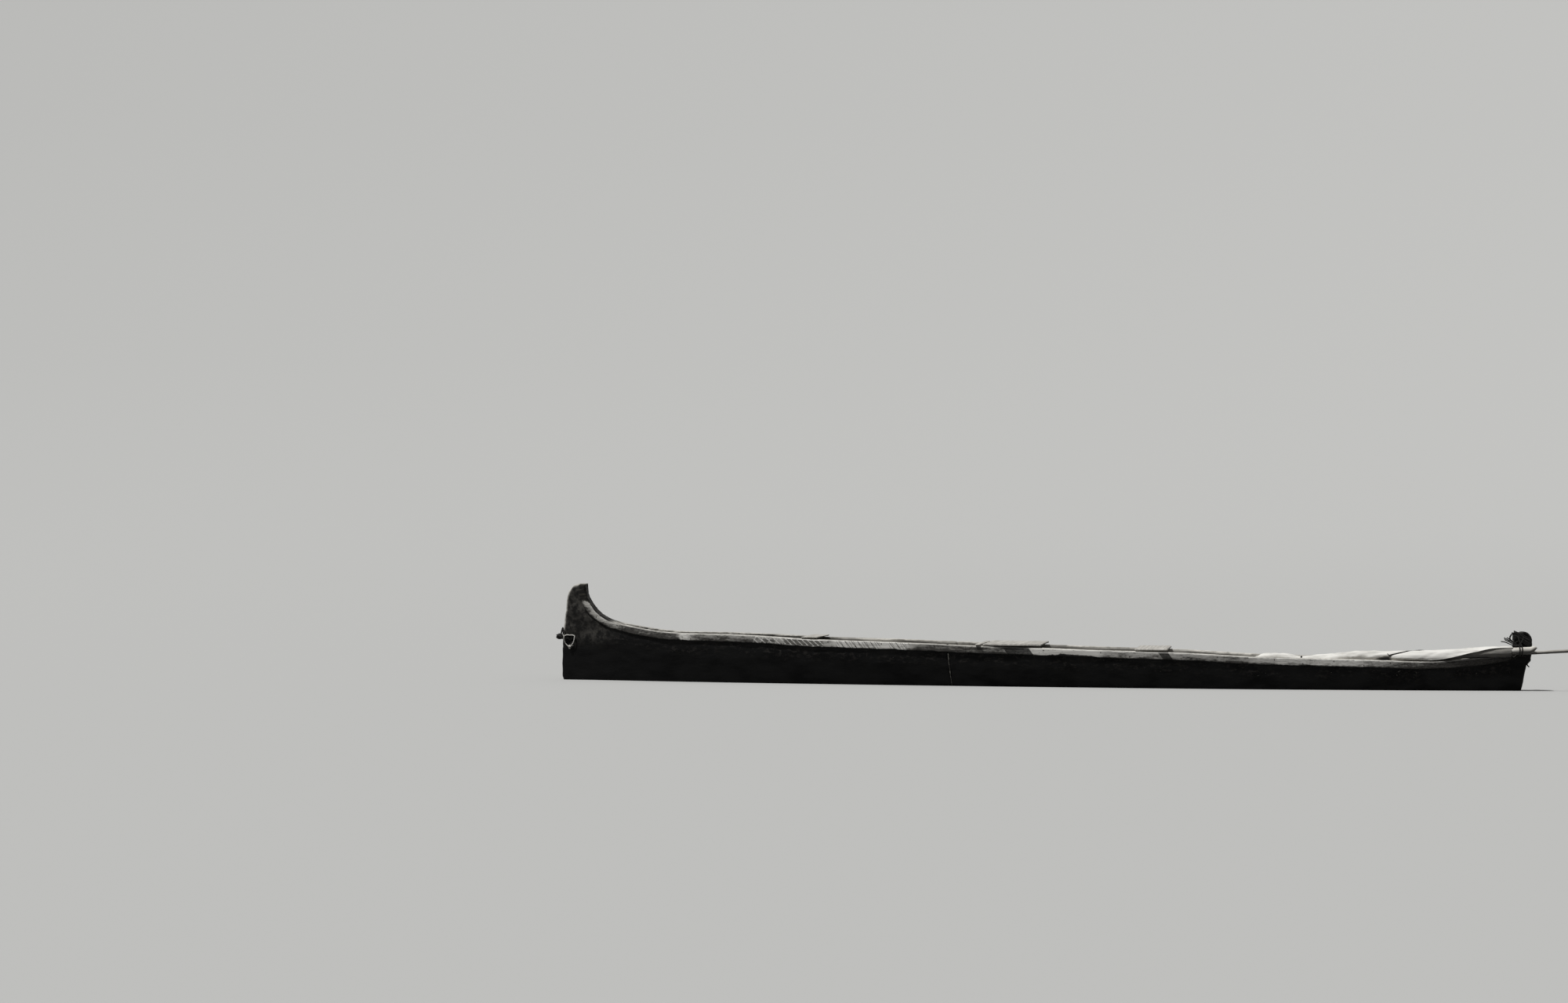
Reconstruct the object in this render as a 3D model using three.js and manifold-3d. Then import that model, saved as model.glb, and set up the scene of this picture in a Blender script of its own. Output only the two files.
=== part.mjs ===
// Sailing dugout canoe, hewn from a log in two lengths that meet at a caulked seam, with its rig
// stowed along the port side.
// Millimetres. Bow toward -X, stern +X, port -Y, +Z up. Origin amidships on the centreline
// at the level the water reaches.
import * as THREE from 'three';
import { mergeVertices } from 'three/addons/utils/BufferGeometryUtils.js';
import Module from 'manifold-3d';

const wasm = await Module();
wasm.setup();

// Lines of the hull: station, height of the rim, half breadth at the rim
const LINES = [
  [-3345, 660, 13], [-3300, 660, 25], [-3235, 660, 37], [-3165, 640, 48], [-3146, 566, 51], [-3123, 525, 56],
  [-3090, 481, 65], [-3053, 447, 75], [-2997, 415, 90], [-2925, 394, 108], [-2795, 369, 140],
  [-2622, 343, 178], [-2451, 333, 208], [-2240, 331, 242], [-1900, 322, 288], [-1540, 303, 322],
  [-1040, 293, 358], [-460, 273, 384], [0, 263, 390], [480, 250, 388], [940, 240, 376],
  [1400, 217, 344], [1900, 209, 286], [2250, 200, 240], [2480, 192, 204], [2660, 200, 172], [2858, 219, 136],
  [2990, 227, 98], [3071, 232, 62], [3110, 236, 49], [3150, 240, 41], [3235, 250, 29],
];
// Stem, bow head, rim and stern head as seen from the side, drawn from the foot of the stem
const STEM = [
  [-3050, -152], [-3160, -118], [-3250, -80], [-3306, -36], [-3327, 20], [-3329, 100], [-3328, 193],
  [-3325, 279], [-3320, 347], [-3315, 399], [-3307, 451], [-3301, 502], [-3299, 554], [-3293, 587],
  [-3280, 612], [-3258, 642], [-3240, 653], [-3222, 659], [-3161, 663],
];
const HEAD_AFT = [
  [3076, 236], [3090, 300], [3096, 378], [3106, 388], [3172, 389], [3197, 379], [3212, 358], [3217, 330],
  [3217, 236], [3211, 202], [3186, 182], [3178, 149], [3161, 76], [3150, 0], [3120, -66], [3060, -116],
  [2950, -154],
];
const DRAFT = 190;
const WALL = 30;
const FLOOR = 46;
// Height up to which a section curves; above it the sides of the raised bow stand upright
const SHOULDER = 300;
// Tops and half widths of the cutters, past everything else
const UP = 720;
const WIDE = 600;
const HOLLOW_FWD = -2945;
const HOLLOW_AFT = 2890;
const STRAKE_TALL = 52;
const STRAKE_THICK = 13;
const STRAKE_BUTTS = [-3210, -2886, -510, 1200, 3104];
const PAINTER = { x: -3268, z: 276, r: 19 };
const MAST = { x0: 620, x1: 3248, r0: 26, r1: 24.5 };
const MAST_AT = { x: 3100, y: -106, z: 264, dy: 0.0843, dz: 0.0594 };
const SPRIT = { x0: 1520, x1: 3900, r: 12.5, oy: 34, oz: -17.5 };
const MAST_HOLE = { x: -1190, r: 29 };
const PADDLE = { at: 2180, y: 45, x0: 1290, z0: 60, x1: 2560, z1: 150, loom: 14, grip: 15 };
// The seam leans aft on its way down
const SEAM = { x: -620, z: 100, lean: 0.11 };
const GAP = 0.4;

// Looks: colour and roughness
const LOOKS = {
  tarred_log: [0x1f1d1b, 0.62],
  weathered_strake: [0x96938d, 0.8],
  grey_board: [0x8f8a82, 0.82],
  spar_wood: [0xa39b8d, 0.6],
  sailcloth: [0xd6d3cc, 0.9],
  dark_rope: [0x2b2927, 0.95],
  light_cord: [0xa8a297, 0.9],
};

const group = new THREE.Group();
group.name = 'dugout_canoe';

// Smooth value of one column of the lines at a station
function lineAt(x, col) {
  const t = LINES;
  if (x <= t[0][0]) return t[0][col];
  if (x >= t[t.length - 1][0]) return t[t.length - 1][col];
  let i = 0;
  while (x > t[i + 1][0]) i++;
  const slope = (k) => {
    if (k <= 0 || k >= t.length - 1) return 0;
    const a = (t[k][col] - t[k - 1][col]) / (t[k][0] - t[k - 1][0]);
    const b = (t[k + 1][col] - t[k][col]) / (t[k + 1][0] - t[k][0]);
    return a * b <= 0 ? 0 : (2 * a * b) / (a + b);
  };
  const h = t[i + 1][0] - t[i][0];
  const u = (x - t[i][0]) / h;
  const m0 = slope(i) * h;
  const m1 = slope(i + 1) * h;
  const u2 = u * u;
  const u3 = u2 * u;
  return (2 * u3 - 3 * u2 + 1) * t[i][col] + (u3 - 2 * u2 + u) * m0
    + (-2 * u3 + 3 * u2) * t[i + 1][col] + (u3 - u2) * m1;
}
const rim = (x) => lineAt(x, 1);
const half = (x) => lineAt(x, 2);
const smooth = (a, b, x) => {
  const u = Math.min(1, Math.max(0, (x - a) / (b - a)));
  return u * u * (3 - 2 * u);
};
// Underside of the log
const keel = (x) => -DRAFT + 30 * smooth(1900, 3150, x) + 22 * smooth(-2300, -3200, x);

// Half breadth of a section at a height share 0 at the keel to 1 at the rim
function fullness(x) {
  return 2.5 - 1.15 * smooth(1300, 3150, x) - 1.15 * smooth(-1700, -3200, x);
}
function share(x, u) {
  const p = fullness(x);
  return Math.pow(Math.max(0, 1 - Math.pow(1 - u, p)), 1 / 1.9);
}

// Closed body from rings of equal length, capped flat at both ends
function loft(rings) {
  const n = rings[0].length;
  const pos = [];
  for (const ring of rings) for (const p of ring) pos.push(p[0], p[1], p[2]);
  const idx = [];
  for (let i = 0; i + 1 < rings.length; i++) {
    for (let j = 0; j < n; j++) {
      const a = i * n + j;
      const b = i * n + ((j + 1) % n);
      idx.push(a, b, a + n, b, b + n, a + n);
    }
  }
  const flat = (k) => {
    const ring = rings[k];
    const o = new THREE.Vector3(...ring[0]);
    const e1 = new THREE.Vector3();
    const nrm = new THREE.Vector3();
    for (let j = 0; j < n; j++) {
      const a = new THREE.Vector3(...ring[j]);
      const b = new THREE.Vector3(...ring[(j + 1) % n]);
      nrm.add(new THREE.Vector3().crossVectors(a.clone().sub(o), b.clone().sub(o)));
    }
    nrm.normalize();
    e1.set(0, 1, 0).addScaledVector(nrm, -nrm.y);
    if (e1.length() < 0.3) e1.set(1, 0, 0).addScaledVector(nrm, -nrm.x);
    e1.normalize();
    const e2 = new THREE.Vector3().crossVectors(nrm, e1);
    const pts = ring.map((p) => {
      const v = new THREE.Vector3(...p).sub(o);
      return new THREE.Vector2(v.dot(e1), v.dot(e2));
    });
    return THREE.ShapeUtils.triangulateShape(pts, []);
  };
  for (const t of flat(0)) idx.push(t[0], t[2], t[1]);
  const last = (rings.length - 1) * n;
  for (const t of flat(rings.length - 1)) idx.push(last + t[0], last + t[1], last + t[2]);
  const g = new THREE.BufferGeometry();
  g.setAttribute('position', new THREE.Float32BufferAttribute(pos, 3));
  g.setIndex(idx);
  return outward(g);
}
function volume(g) {
  const p = g.attributes.position;
  const ix = g.index;
  let v = 0;
  const a = new THREE.Vector3();
  const b = new THREE.Vector3();
  const c = new THREE.Vector3();
  for (let i = 0; i < ix.count; i += 3) {
    a.fromBufferAttribute(p, ix.getX(i));
    b.fromBufferAttribute(p, ix.getX(i + 1));
    c.fromBufferAttribute(p, ix.getX(i + 2));
    v += a.dot(b.cross(c));
  }
  return v / 6;
}
function outward(g) {
  if (volume(g) > 0) return g;
  const ix = Array.from(g.index.array);
  for (let i = 0; i < ix.length; i += 3) [ix[i + 1], ix[i + 2]] = [ix[i + 2], ix[i + 1]];
  g.setIndex(ix);
  return g;
}

function solid(geo) {
  let g = geo.clone();
  g.deleteAttribute('normal');
  g.deleteAttribute('uv');
  g = mergeVertices(g, 1e-3);
  g = outward(g);
  return new wasm.Manifold(new wasm.Mesh({
    numProp: 3,
    vertProperties: new Float32Array(g.attributes.position.array),
    triVerts: new Uint32Array(g.index.array),
  }));
}
function geometry(man) {
  let m = man;
  const parts = man.decompose();
  if (parts.length > 1) m = parts.reduce((a, b) => (b.volume() > a.volume() ? b : a));
  const mesh = m.getMesh();
  const g = new THREE.BufferGeometry();
  g.setAttribute('position', new THREE.BufferAttribute(new Float32Array(mesh.vertProperties), 3));
  g.setIndex(new THREE.BufferAttribute(new Uint32Array(mesh.triVerts), 1));
  return g;
}
const cut = (a, ...rest) => rest.reduce((m, b) => m.subtract(b), a);
function add(name, look, shape) {
  const g = shape.isBufferGeometry ? shape : geometry(shape);
  const [color, roughness] = LOOKS[look];
  const material = new THREE.MeshStandardMaterial({ color, roughness, metalness: 0 });
  material.name = look;
  const mesh = new THREE.Mesh(g, material);
  mesh.name = name;
  group.add(mesh);
}
function prism(points, y0, y1) {
  return loft([points.map((p) => [p[0], y0, p[1]]), points.map((p) => [p[0], y1, p[1]])]);
}
function box(x0, x1, y0, y1, z0, z1) {
  const g = new THREE.BoxGeometry(x1 - x0, y1 - y0, z1 - z0);
  g.translate((x0 + x1) / 2, (y0 + y1) / 2, (z0 + z1) / 2);
  return g;
}
function tube(points, r, sides = 8, steps = 40) {
  const path = new THREE.CatmullRomCurve3(points.map((p) => new THREE.Vector3(...p)), false, 'centripetal');
  const shape = new THREE.Shape();
  for (let i = 0; i < sides; i++) {
    const a = (i / sides) * 2 * Math.PI;
    if (i === 0) shape.moveTo(r * Math.cos(a), r * Math.sin(a));
    else shape.lineTo(r * Math.cos(a), r * Math.sin(a));
  }
  shape.closePath();
  return new THREE.ExtrudeGeometry(shape, { steps, bevelEnabled: false, extrudePath: path, curveSegments: 1 });
}

// Sections of the log's outside, run up past the rim and trimmed by the side profile
const STATIONS = [
  -3345, -3322, -3296, -3262, -3235, -3200, -3165, -3123, -3090, -3053, -2997, -2925, -2860, -2795, -2710,
  -2622, -2540, -2451, -2345, -2240, -2070, -1900, -1720, -1540, -1290, -1040, -750, -460, -230, 0, 240,
  480, 710, 940, 1170, 1400, 1650, 1900, 2080, 2250, 2370, 2480, 2570, 2660, 2760, 2858, 2925, 2990, 3071,
  3110, 3150, 3190, 3235,
];
const OUTER_LEVELS = [0.02, 0.08, 0.17, 0.29, 0.43, 0.58, 0.73, 0.87, 1];
const mirrored = (side) => side.slice().reverse().map((p) => [p[0], -p[1], p[2]]);
const shoulder = (x) => Math.min(rim(x), SHOULDER);
function outerRing(x) {
  const zk = keel(x);
  const tall = shoulder(x);
  const b = half(x);
  const side = OUTER_LEVELS.map((u) => [x, b * share(x, u), zk + u * (tall - zk)]);
  const flare = tall < rim(x) ? 1 : 1.015;
  side.push([x, b * flare, UP]);
  return [[x, 0, zk], ...side, ...mirrored(side)];
}
const body = solid(loft(STATIONS.map(outerRing)));

const sheer = [];
for (const x of [-3146, -3123, -3090, -3053, -2997, -2925, -2860, -2795, -2710, -2622, -2540, -2451, -2345,
  -2240, -2070, -1900, -1720, -1540, -1290, -1040, -750, -460, -230, 0, 240, 480, 710, 940, 1170, 1400, 1650,
  1900, 2080, 2250, 2370, 2480, 2570, 2660, 2760, 2858, 2925, 2990, 3050]) sheer.push([x, rim(x)]);
const profile = [
  ...STEM, [-3156, 606], ...sheer, ...HEAD_AFT, [2600, -176], [1900, -230], [0, -230], [-2300, -230], [-2800, -184],
];
const sideProfile = solid(prism(profile, -WIDE, WIDE));

// The hollow, rounded at both ends
const HOLLOW_STATIONS = [
  -2945, -2925, -2895, -2860, -2795, -2710, -2622, -2451, -2240, -1900, -1540, -1040, -460, 0, 480, 940,
  1400, 1900, 2250, 2480, 2660, 2760, 2830, 2865, 2890,
];
const INNER_LEVELS = [0.03, 0.12, 0.27, 0.45, 0.64, 0.83, 1];
const ROUND_FWD = 260;
const ROUND_AFT = 300;
function hollowRing(x, shrink) {
  const fwd = Math.min(1, (x - HOLLOW_FWD) / ROUND_FWD);
  const aft = Math.min(1, (HOLLOW_AFT - x) / ROUND_AFT);
  const end = Math.sqrt(Math.max(0.012, 1 - Math.pow(1 - Math.max(0, Math.min(fwd, aft)), 2)));
  const b = (half(x) - WALL) * (0.2 + 0.8 * end) - shrink;
  const deep = keel(x) + FLOOR;
  const zk = rim(x) - (rim(x) - deep) * (0.12 + 0.88 * end) + shrink;
  const tall = rim(x);
  const side = INNER_LEVELS.map((u) => [x, b * share(x, u), zk + u * (tall - zk)]);
  side.push([x, b, UP]);
  return [[x, 0, zk], ...side, ...mirrored(side)];
}
const hollow = solid(loft(HOLLOW_STATIONS.map((x) => hollowRing(x, 0))));
// The hollow less the clearance of what is fitted into it
const insideFit = solid(loft(HOLLOW_STATIONS.map((x) => hollowRing(x, 2 * GAP))));

const hole = new THREE.CylinderGeometry(PAINTER.r, PAINTER.r, 200, 20);
hole.translate(PAINTER.x, 0, PAINTER.z);
const log = cut(body.intersect(sideProfile), hollow, solid(hole));

// Rim strakes bent round the outside of the log's edge, each side in four lengths
const lowEdge = (x) => rim(x) - STRAKE_TALL;
// How far a strake's stock reaches into the log before it is cut to the log's side
const STRAKE_BACK = 9;
// Stations past a strake's ends that its bend is drawn through
const BEND_PAST = 400;
const FACE_X = [
  -3146, -3123, -3090, -3053, -2997, -2925, -2886, -2795, -2710, -2622, -2540, -2451, -2345, -2240, -2070,
  -1900, -1720, -1540, -1290, -1040, -750, -510, -460, -230, 0, 240, 480, 710, 940, 1170, 1200, 1400, 1650,
  1900, 2080, 2250, 2370, 2480, 2570, 2660, 2760, 2858, 2925, 2990, 3050, 3104,
];
function strakeFace(x0, x1) {
  const xs = FACE_X.filter((x) => x > x0 + 1 && x < x1 - 1);
  const up = [[x1, rim(x1) - 3], ...xs.slice().reverse().map((x) => [x, rim(x) - 3])];
  const low = [];
  if (x0 < -3150) {
    up.push([-3159, 600], [-3163, 660]);
    low.push([-3210, 657], [-3209, 579], [-3186, 518], [-3167, 480], [-3127, 439], [-3082, 409],
      [-3034, 376], [-2979, 356], [x1, 335]);
    return [...up, ...low];
  }
  up.push([x0, rim(x0) - 3]);
  low.push([x0, x0 < -2800 ? 335 : lowEdge(x0)]);
  for (const x of xs) {
    const taper = x > 2900 ? (x - 2900) * 0.13 : 0;
    low.push([x, lowEdge(x) + taper]);
  }
  low.push([x1, x1 > 3000 ? rim(x1) - 16 : lowEdge(x1)]);
  return [...up, ...low];
}
function strake(x0, x1, side) {
  const face = strakeFace(x0, x1);
  const bend = STATIONS.filter((x) => x > x0 - BEND_PAST && x < x1 + BEND_PAST);
  const rings = bend.map((x) => {
    const tall = shoulder(x);
    const zk = keel(x);
    const at = (z) => half(x) * share(x, Math.min(1, (z - zk) / (tall - zk)));
    const zs = [60, 150, 230, SHOULDER, UP];
    const near = zs.map((z) => [x, side * (at(z) - STRAKE_BACK), z]);
    const far = zs.map((z) => [x, side * (at(z) + STRAKE_THICK), z]);
    return [...near, ...far.reverse()];
  });
  const skin = solid(loft(rings));
  const board = skin.intersect(solid(prism(face, -WIDE, WIDE)));
  return cut(board, log.translate([0, side * GAP, 0]));
}
const names = ['bow', 'fore', 'mid', 'aft'];
const strakes = [];
for (const [tag, side] of [['port', -1], ['starboard', 1]]) {
  names.forEach((n, i) => {
    const s = strake(STRAKE_BUTTS[i] + 0.5, STRAKE_BUTTS[i + 1] - 0.5, side);
    strakes.push(s);
    add(`strake_${tag}_${n}`, 'weathered_strake', s);
  });
}
const seamLevel = SEAM.x + SEAM.lean * SEAM.z;
const seamScale = Math.hypot(1, SEAM.lean);
add('hull_fore', 'tarred_log', log.trimByPlane([-1, 0, -SEAM.lean], (GAP / 2 - seamLevel) / seamScale));
add('hull_aft', 'tarred_log', log.trimByPlane([1, 0, SEAM.lean], (GAP / 2 + seamLevel) / seamScale));

// Boards laid across the gunwales: name, first and last station, thickness, overhang past the rim
const ACROSS = [
  ['fore_board', -1632, -1518, 12, -2],
  ['cargo_board', -402, -8, 16, 26],
  ['narrow_board', -452, -414, 12, 14],
  ['mid_board', 607, 828, 17, -4],
];
for (const [name, x0, x1, t, over] of ACROSS) {
  const z = Math.max(rim(x0), rim(x1), rim((x0 + x1) / 2)) + 2 * GAP;
  const b = Math.min(half(x0), half(x1)) + STRAKE_THICK + over;
  add(name, 'grey_board', box(x0, x1, -b, b, z, z + t));
}

// Thwarts fitted between the sides: name, stations, height of the top, thickness
const THWARTS = [
  ['mast_thwart', -1290, -1010, 262, 24],
  ['middle_seat', 1290, 1490, 60, 22],
  ['stern_seat', 2560, 2700, 150, 22],
];
function mastSocket(z0, z1) {
  const g = new THREE.CylinderGeometry(MAST_HOLE.r, MAST_HOLE.r, z1 - z0, 24);
  g.rotateX(Math.PI / 2);
  g.translate(MAST_HOLE.x, 0, (z0 + z1) / 2);
  return solid(g);
}
for (const [name, x0, x1, top, t] of THWARTS) {
  const fitted = solid(box(x0, x1, -WIDE, WIDE, top - t, top)).intersect(insideFit);
  const holed = name === 'mast_thwart' ? cut(fitted, mastSocket(top - 2 * t, top + t)) : fitted;
  add(name, 'grey_board', holed);
}
// Step for the mast's heel on the floor under the mast thwart
const STEP = { long: 160, wide: 124, low: -150, top: -96, socket: 30 };
const stepBlock = solid(box(
  MAST_HOLE.x - STEP.long / 2, MAST_HOLE.x + STEP.long / 2, -STEP.wide / 2, STEP.wide / 2, STEP.low, STEP.top,
)).intersect(insideFit);
add('mast_step', 'grey_board', cut(stepBlock, mastSocket(STEP.top - STEP.socket, STEP.top + STEP.socket)));

// Spars, side by side, their upper ends out over the stern
const mastY = (x) => MAST_AT.y + (x - MAST_AT.x) * MAST_AT.dy;
const mastZ = (x) => MAST_AT.z + (x - MAST_AT.x) * MAST_AT.dz;
function spar(x0, x1, r0, r1, oy, oz, sides = 16) {
  const rings = [];
  const at = [[x0, 0.55], [x0 + 10, 1], [x1 - 10, 1], [x1 - 2, 0.8], [x1, 0.45]];
  for (const [x, k] of at) {
    const r = (r0 + ((r1 - r0) * (x - x0)) / (x1 - x0)) * k;
    const ring = [];
    for (let i = 0; i < sides; i++) {
      const a = (i / sides) * 2 * Math.PI;
      ring.push([x, mastY(x) + oy + r * Math.cos(a), mastZ(x) + oz + r * Math.sin(a)]);
    }
    rings.push(ring);
  }
  return loft(rings);
}
add('mast', 'spar_wood', spar(MAST.x0, MAST.x1, MAST.r0, MAST.r1, 0, 0));
add('sprit', 'spar_wood', spar(SPRIT.x0, SPRIT.x1, SPRIT.r, SPRIT.r, SPRIT.oy, SPRIT.oz, 12));

// Furled sail round both spars: station, radius above the mast's centre
const FURL = [
  [1380, 36], [1410, 52], [1467, 70], [1550, 67], [1627, 59], [1679, 43], [1696, 36], [1710, 36], [1730, 43], [1808, 48],
  [1937, 54], [2065, 56], [2219, 50], [2348, 41], [2476, 35], [2629, 36], [2782, 37], [2935, 40],
  [3030, 38], [3062, 35],
];
const ROLL = { y: 8, z: -12, sides: 20 };
function onRoll(x, r, a) {
  return [x, mastY(x) + ROLL.y + (r + 9) * Math.cos(a), mastZ(x) + ROLL.z + (r - ROLL.z) * Math.sin(a)];
}
function furlRing(x, r) {
  const ring = [];
  for (let i = 0; i < ROLL.sides; i++) ring.push(onRoll(x, r, (i / ROLL.sides) * 2 * Math.PI));
  return ring;
}
const mastBore = solid(spar(MAST.x0, MAST.x1 + 60, MAST.r0 + GAP, MAST.r1 + GAP, 0, 0));
const spritBore = solid(spar(SPRIT.x0 - 2, SPRIT.x1, SPRIT.r + GAP, SPRIT.r + GAP, SPRIT.oy, SPRIT.oz, 12));
const roll = solid(loft(FURL.map(([x, r]) => furlRing(x, r))));
const edge = [log, ...strakes.slice(0, 4)];
const clear = [[0, 0.7, 0.5], [0, -0.7, 0.5], [0, 0, 0.6]].flatMap((d) => edge.map((s) => s.translate(d)));
add('furled_sail', 'sailcloth', cut(roll, mastBore, spritBore, ...clear));
function tie(x, wide, r, thick) {
  const outer = solid(loft([furlRing(x, r + thick), furlRing(x + wide, r + thick)]));
  const inner = solid(loft([furlRing(x - 1, r + GAP), furlRing(x + wide + 1, r + GAP)]));
  return cut(outer, inner);
}
add('sail_tie_fore', 'dark_rope', tie(1697, 12, 36, 7));
function rollRadius(x) {
  const j = FURL.findIndex((row) => row[0] >= x);
  const [a, b] = [FURL[j - 1], FURL[j]];
  return a[1] + ((x - a[0]) / (b[0] - a[0])) * (b[1] - a[1]);
}
// A cord that crosses the top of the roll on the slant
const CROSS = { x0: 2219, x1: 2549, a0: 0.93 * Math.PI, a1: 0.3 * Math.PI, r: 4, lift: 0.6, steps: 14 };
const crossTie = [];
for (let i = 0; i <= CROSS.steps; i++) {
  const k = i / CROSS.steps;
  const x = CROSS.x0 + (CROSS.x1 - CROSS.x0) * k;
  crossTie.push(onRoll(x, rollRadius(x) + CROSS.r + CROSS.lift, CROSS.a0 + (CROSS.a1 - CROSS.a0) * k));
}
add('sail_tie_aft', 'dark_rope', tube(crossTie, CROSS.r, 8, 28));

// Lashing of the spars beside the stern head, and the rope wound on the head
function belt(x, r = 4) {
  const pts = [];
  for (let i = 0; i <= 31; i++) {
    const a = (i / 32) * 2 * Math.PI + 0.2;
    const n = [Math.cos(a), Math.sin(a)];
    const mast = MAST.r1 + 0.3;
    const reach = SPRIT.oy * n[0] + SPRIT.oz * n[1] + SPRIT.r;
    const c = reach > mast ? [SPRIT.oy, SPRIT.oz, SPRIT.r] : [0, 0, mast];
    const d = c[2] + r + 0.5;
    pts.push([x + (i / 32) * 4, mastY(x) + c[0] + d * n[0], mastZ(x) + c[1] + d * n[1]]);
  }
  return pts;
}
add('spar_lashing_fore', 'dark_rope', tube(belt(3124), 4, 8, 40));
add('spar_lashing_aft', 'dark_rope', tube(belt(3138), 4, 8, 40));
// Cosine and sine of a turn round a squarish shape, 1 at the middle of each side
const squared = (v) => Math.sign(v) * Math.sqrt(Math.abs(v));
const COIL = { x: 3154.5, long: 85, wide: 65.5, taper: 10, z0: 312, z1: 374, turns: 4, r: 7.4 };
const coil = [];
for (let i = 0; i <= COIL.turns * 12; i++) {
  const a = (i / 12) * 2 * Math.PI;
  const c = squared(Math.cos(a));
  const y = (COIL.wide - COIL.taper * c) * squared(Math.sin(a));
  coil.push([COIL.x + COIL.long * c, y, COIL.z0 + (i / (COIL.turns * 12)) * (COIL.z1 - COIL.z0)]);
}
add('stern_rope', 'dark_rope', tube(coil, COIL.r, 8, COIL.turns * 20));

// Cord through the painter hole and round the front of the stem, with its knot
const RING = { x: -3300, z: 284, long: 29.4, wide: 36, rise: 3, r: 3.8, steps: 18 };
const ring = [];
for (let i = 0; i < RING.steps; i++) {
  const a = (i / RING.steps) * 2 * Math.PI + Math.PI * 0.06;
  const c = squared(Math.cos(a));
  ring.push([RING.x + RING.long * c, RING.wide * squared(Math.sin(a)), RING.z + RING.rise * c]);
}
add('bow_cord', 'light_cord', tube(ring, RING.r, 8, 36));
// Its free end, hanging in a loop on the port side
add('bow_loop', 'light_cord', tube([
  [-3262, 6, 268], [-3262, -16, 268], [-3260, -32, 272], [-3246, -42, 286], [-3238, -45, 300], [-3250, -43, 306],
  [-3272, -40, 306], [-3296, -38, 308], [-3312, -40, 300], [-3316, -43.4, 284], [-3313, -39, 262], [-3302, -35, 244],
  [-3288, -35, 232], [-3274, -38, 226], [-3260, -41, 234], [-3252, -43, 248],
], 3.6, 8, 40));
const knot = new THREE.IcosahedronGeometry(20, 1);
knot.scale(1, 0.9, 0.85);
knot.translate(-3353.3, 0, 281);
knot.deleteAttribute('normal');
knot.deleteAttribute('uv');
add('bow_knot', 'dark_rope', mergeVertices(knot, 1e-3));

// Paddle laid on the middle seat and the stern seat
const BLADE_THICK = 12;
const blade = new THREE.Shape();
blade.moveTo(0, -14);
blade.bezierCurveTo(60, -20, 120, -66, 210, -70);
blade.bezierCurveTo(320, -72, 420, -60, 500, 0);
blade.bezierCurveTo(420, 60, 320, 72, 210, 70);
blade.bezierCurveTo(120, 66, 60, 20, 0, 14);
blade.closePath();
const bladeGeo = new THREE.ExtrudeGeometry(blade, { depth: BLADE_THICK, bevelEnabled: false, curveSegments: 6 });
bladeGeo.translate(0, 0, -BLADE_THICK / 2);
const loom = new THREE.CylinderGeometry(PADDLE.loom, PADDLE.loom, 930, 14);
loom.rotateZ(Math.PI / 2);
loom.translate(-460, 0, 0);
const grip = new THREE.CylinderGeometry(PADDLE.grip, PADDLE.grip, 110, 14);
grip.translate(-925, 0, 0);
const bladeRest = PADDLE.z1 + BLADE_THICK / 2 + GAP;
const loomRest = PADDLE.z0 + PADDLE.loom + GAP;
const slope = Math.atan2(bladeRest - loomRest, PADDLE.x1 - PADDLE.x0);
add('paddle', 'spar_wood', solid(bladeGeo).add(solid(loom)).add(solid(grip))
  .rotate([0, (-slope * 180) / Math.PI, 0])
  .translate([PADDLE.at, PADDLE.y, bladeRest + GAP / 2 - (PADDLE.x1 - PADDLE.at) * Math.tan(slope)]));

export default group;
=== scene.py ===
from math import atan, atan2, copysign, cos, exp, hypot, pi, radians, sin, sqrt

import bmesh
import bpy
from mathutils import Matrix, Vector, noise
from mathutils.bvhtree import BVHTree


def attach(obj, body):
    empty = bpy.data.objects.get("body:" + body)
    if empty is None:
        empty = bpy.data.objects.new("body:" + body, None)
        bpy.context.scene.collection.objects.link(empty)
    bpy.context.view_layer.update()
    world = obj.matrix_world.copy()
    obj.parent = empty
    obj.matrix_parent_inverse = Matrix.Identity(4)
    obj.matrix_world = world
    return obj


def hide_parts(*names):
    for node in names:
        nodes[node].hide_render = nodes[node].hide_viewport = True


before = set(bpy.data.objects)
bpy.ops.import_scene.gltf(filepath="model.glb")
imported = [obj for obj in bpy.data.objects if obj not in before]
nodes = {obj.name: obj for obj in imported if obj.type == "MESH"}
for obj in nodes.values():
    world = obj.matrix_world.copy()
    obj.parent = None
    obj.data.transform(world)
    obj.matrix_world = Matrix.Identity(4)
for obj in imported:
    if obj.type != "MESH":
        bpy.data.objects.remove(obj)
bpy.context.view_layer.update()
scene = bpy.context.scene
bpy.ops.object.select_all(action="DESELECT")

# Camera: far off and low, the canoe seen from its port side
IMAGE_W = 2000
SENSOR = 36.0
FOCAL_PX = 4720.0
CAMERA_AT = Vector((1.717, -25.004, 1.03))
YAW = radians(8.0)
PITCH = atan(37.5 / FOCAL_PX)
ROLL = atan(12 / IMAGE_W)


def placed(name, data):
    obj = bpy.data.objects.new(name, data)
    scene.collection.objects.link(obj)
    return obj


def place_camera():
    right = Vector((cos(YAW), sin(YAW), 0))
    ahead = Vector((-sin(YAW), cos(YAW), 0))
    view = ahead * cos(PITCH) + Vector((0, 0, 1)) * sin(PITCH)
    up = right.cross(view)
    side = right * cos(ROLL) + up * sin(ROLL)
    top = up * cos(ROLL) - right * sin(ROLL)
    data = bpy.data.cameras.new("camera")
    data.sensor_width = SENSOR
    data.lens = FOCAL_PX * SENSOR / IMAGE_W
    data.clip_end = 500
    place = Matrix((side, top, -view)).transposed().to_4x4()
    place.translation = CAMERA_AT
    scene.camera = placed("camera", data)
    scene.camera.matrix_world = place


place_camera()


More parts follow.
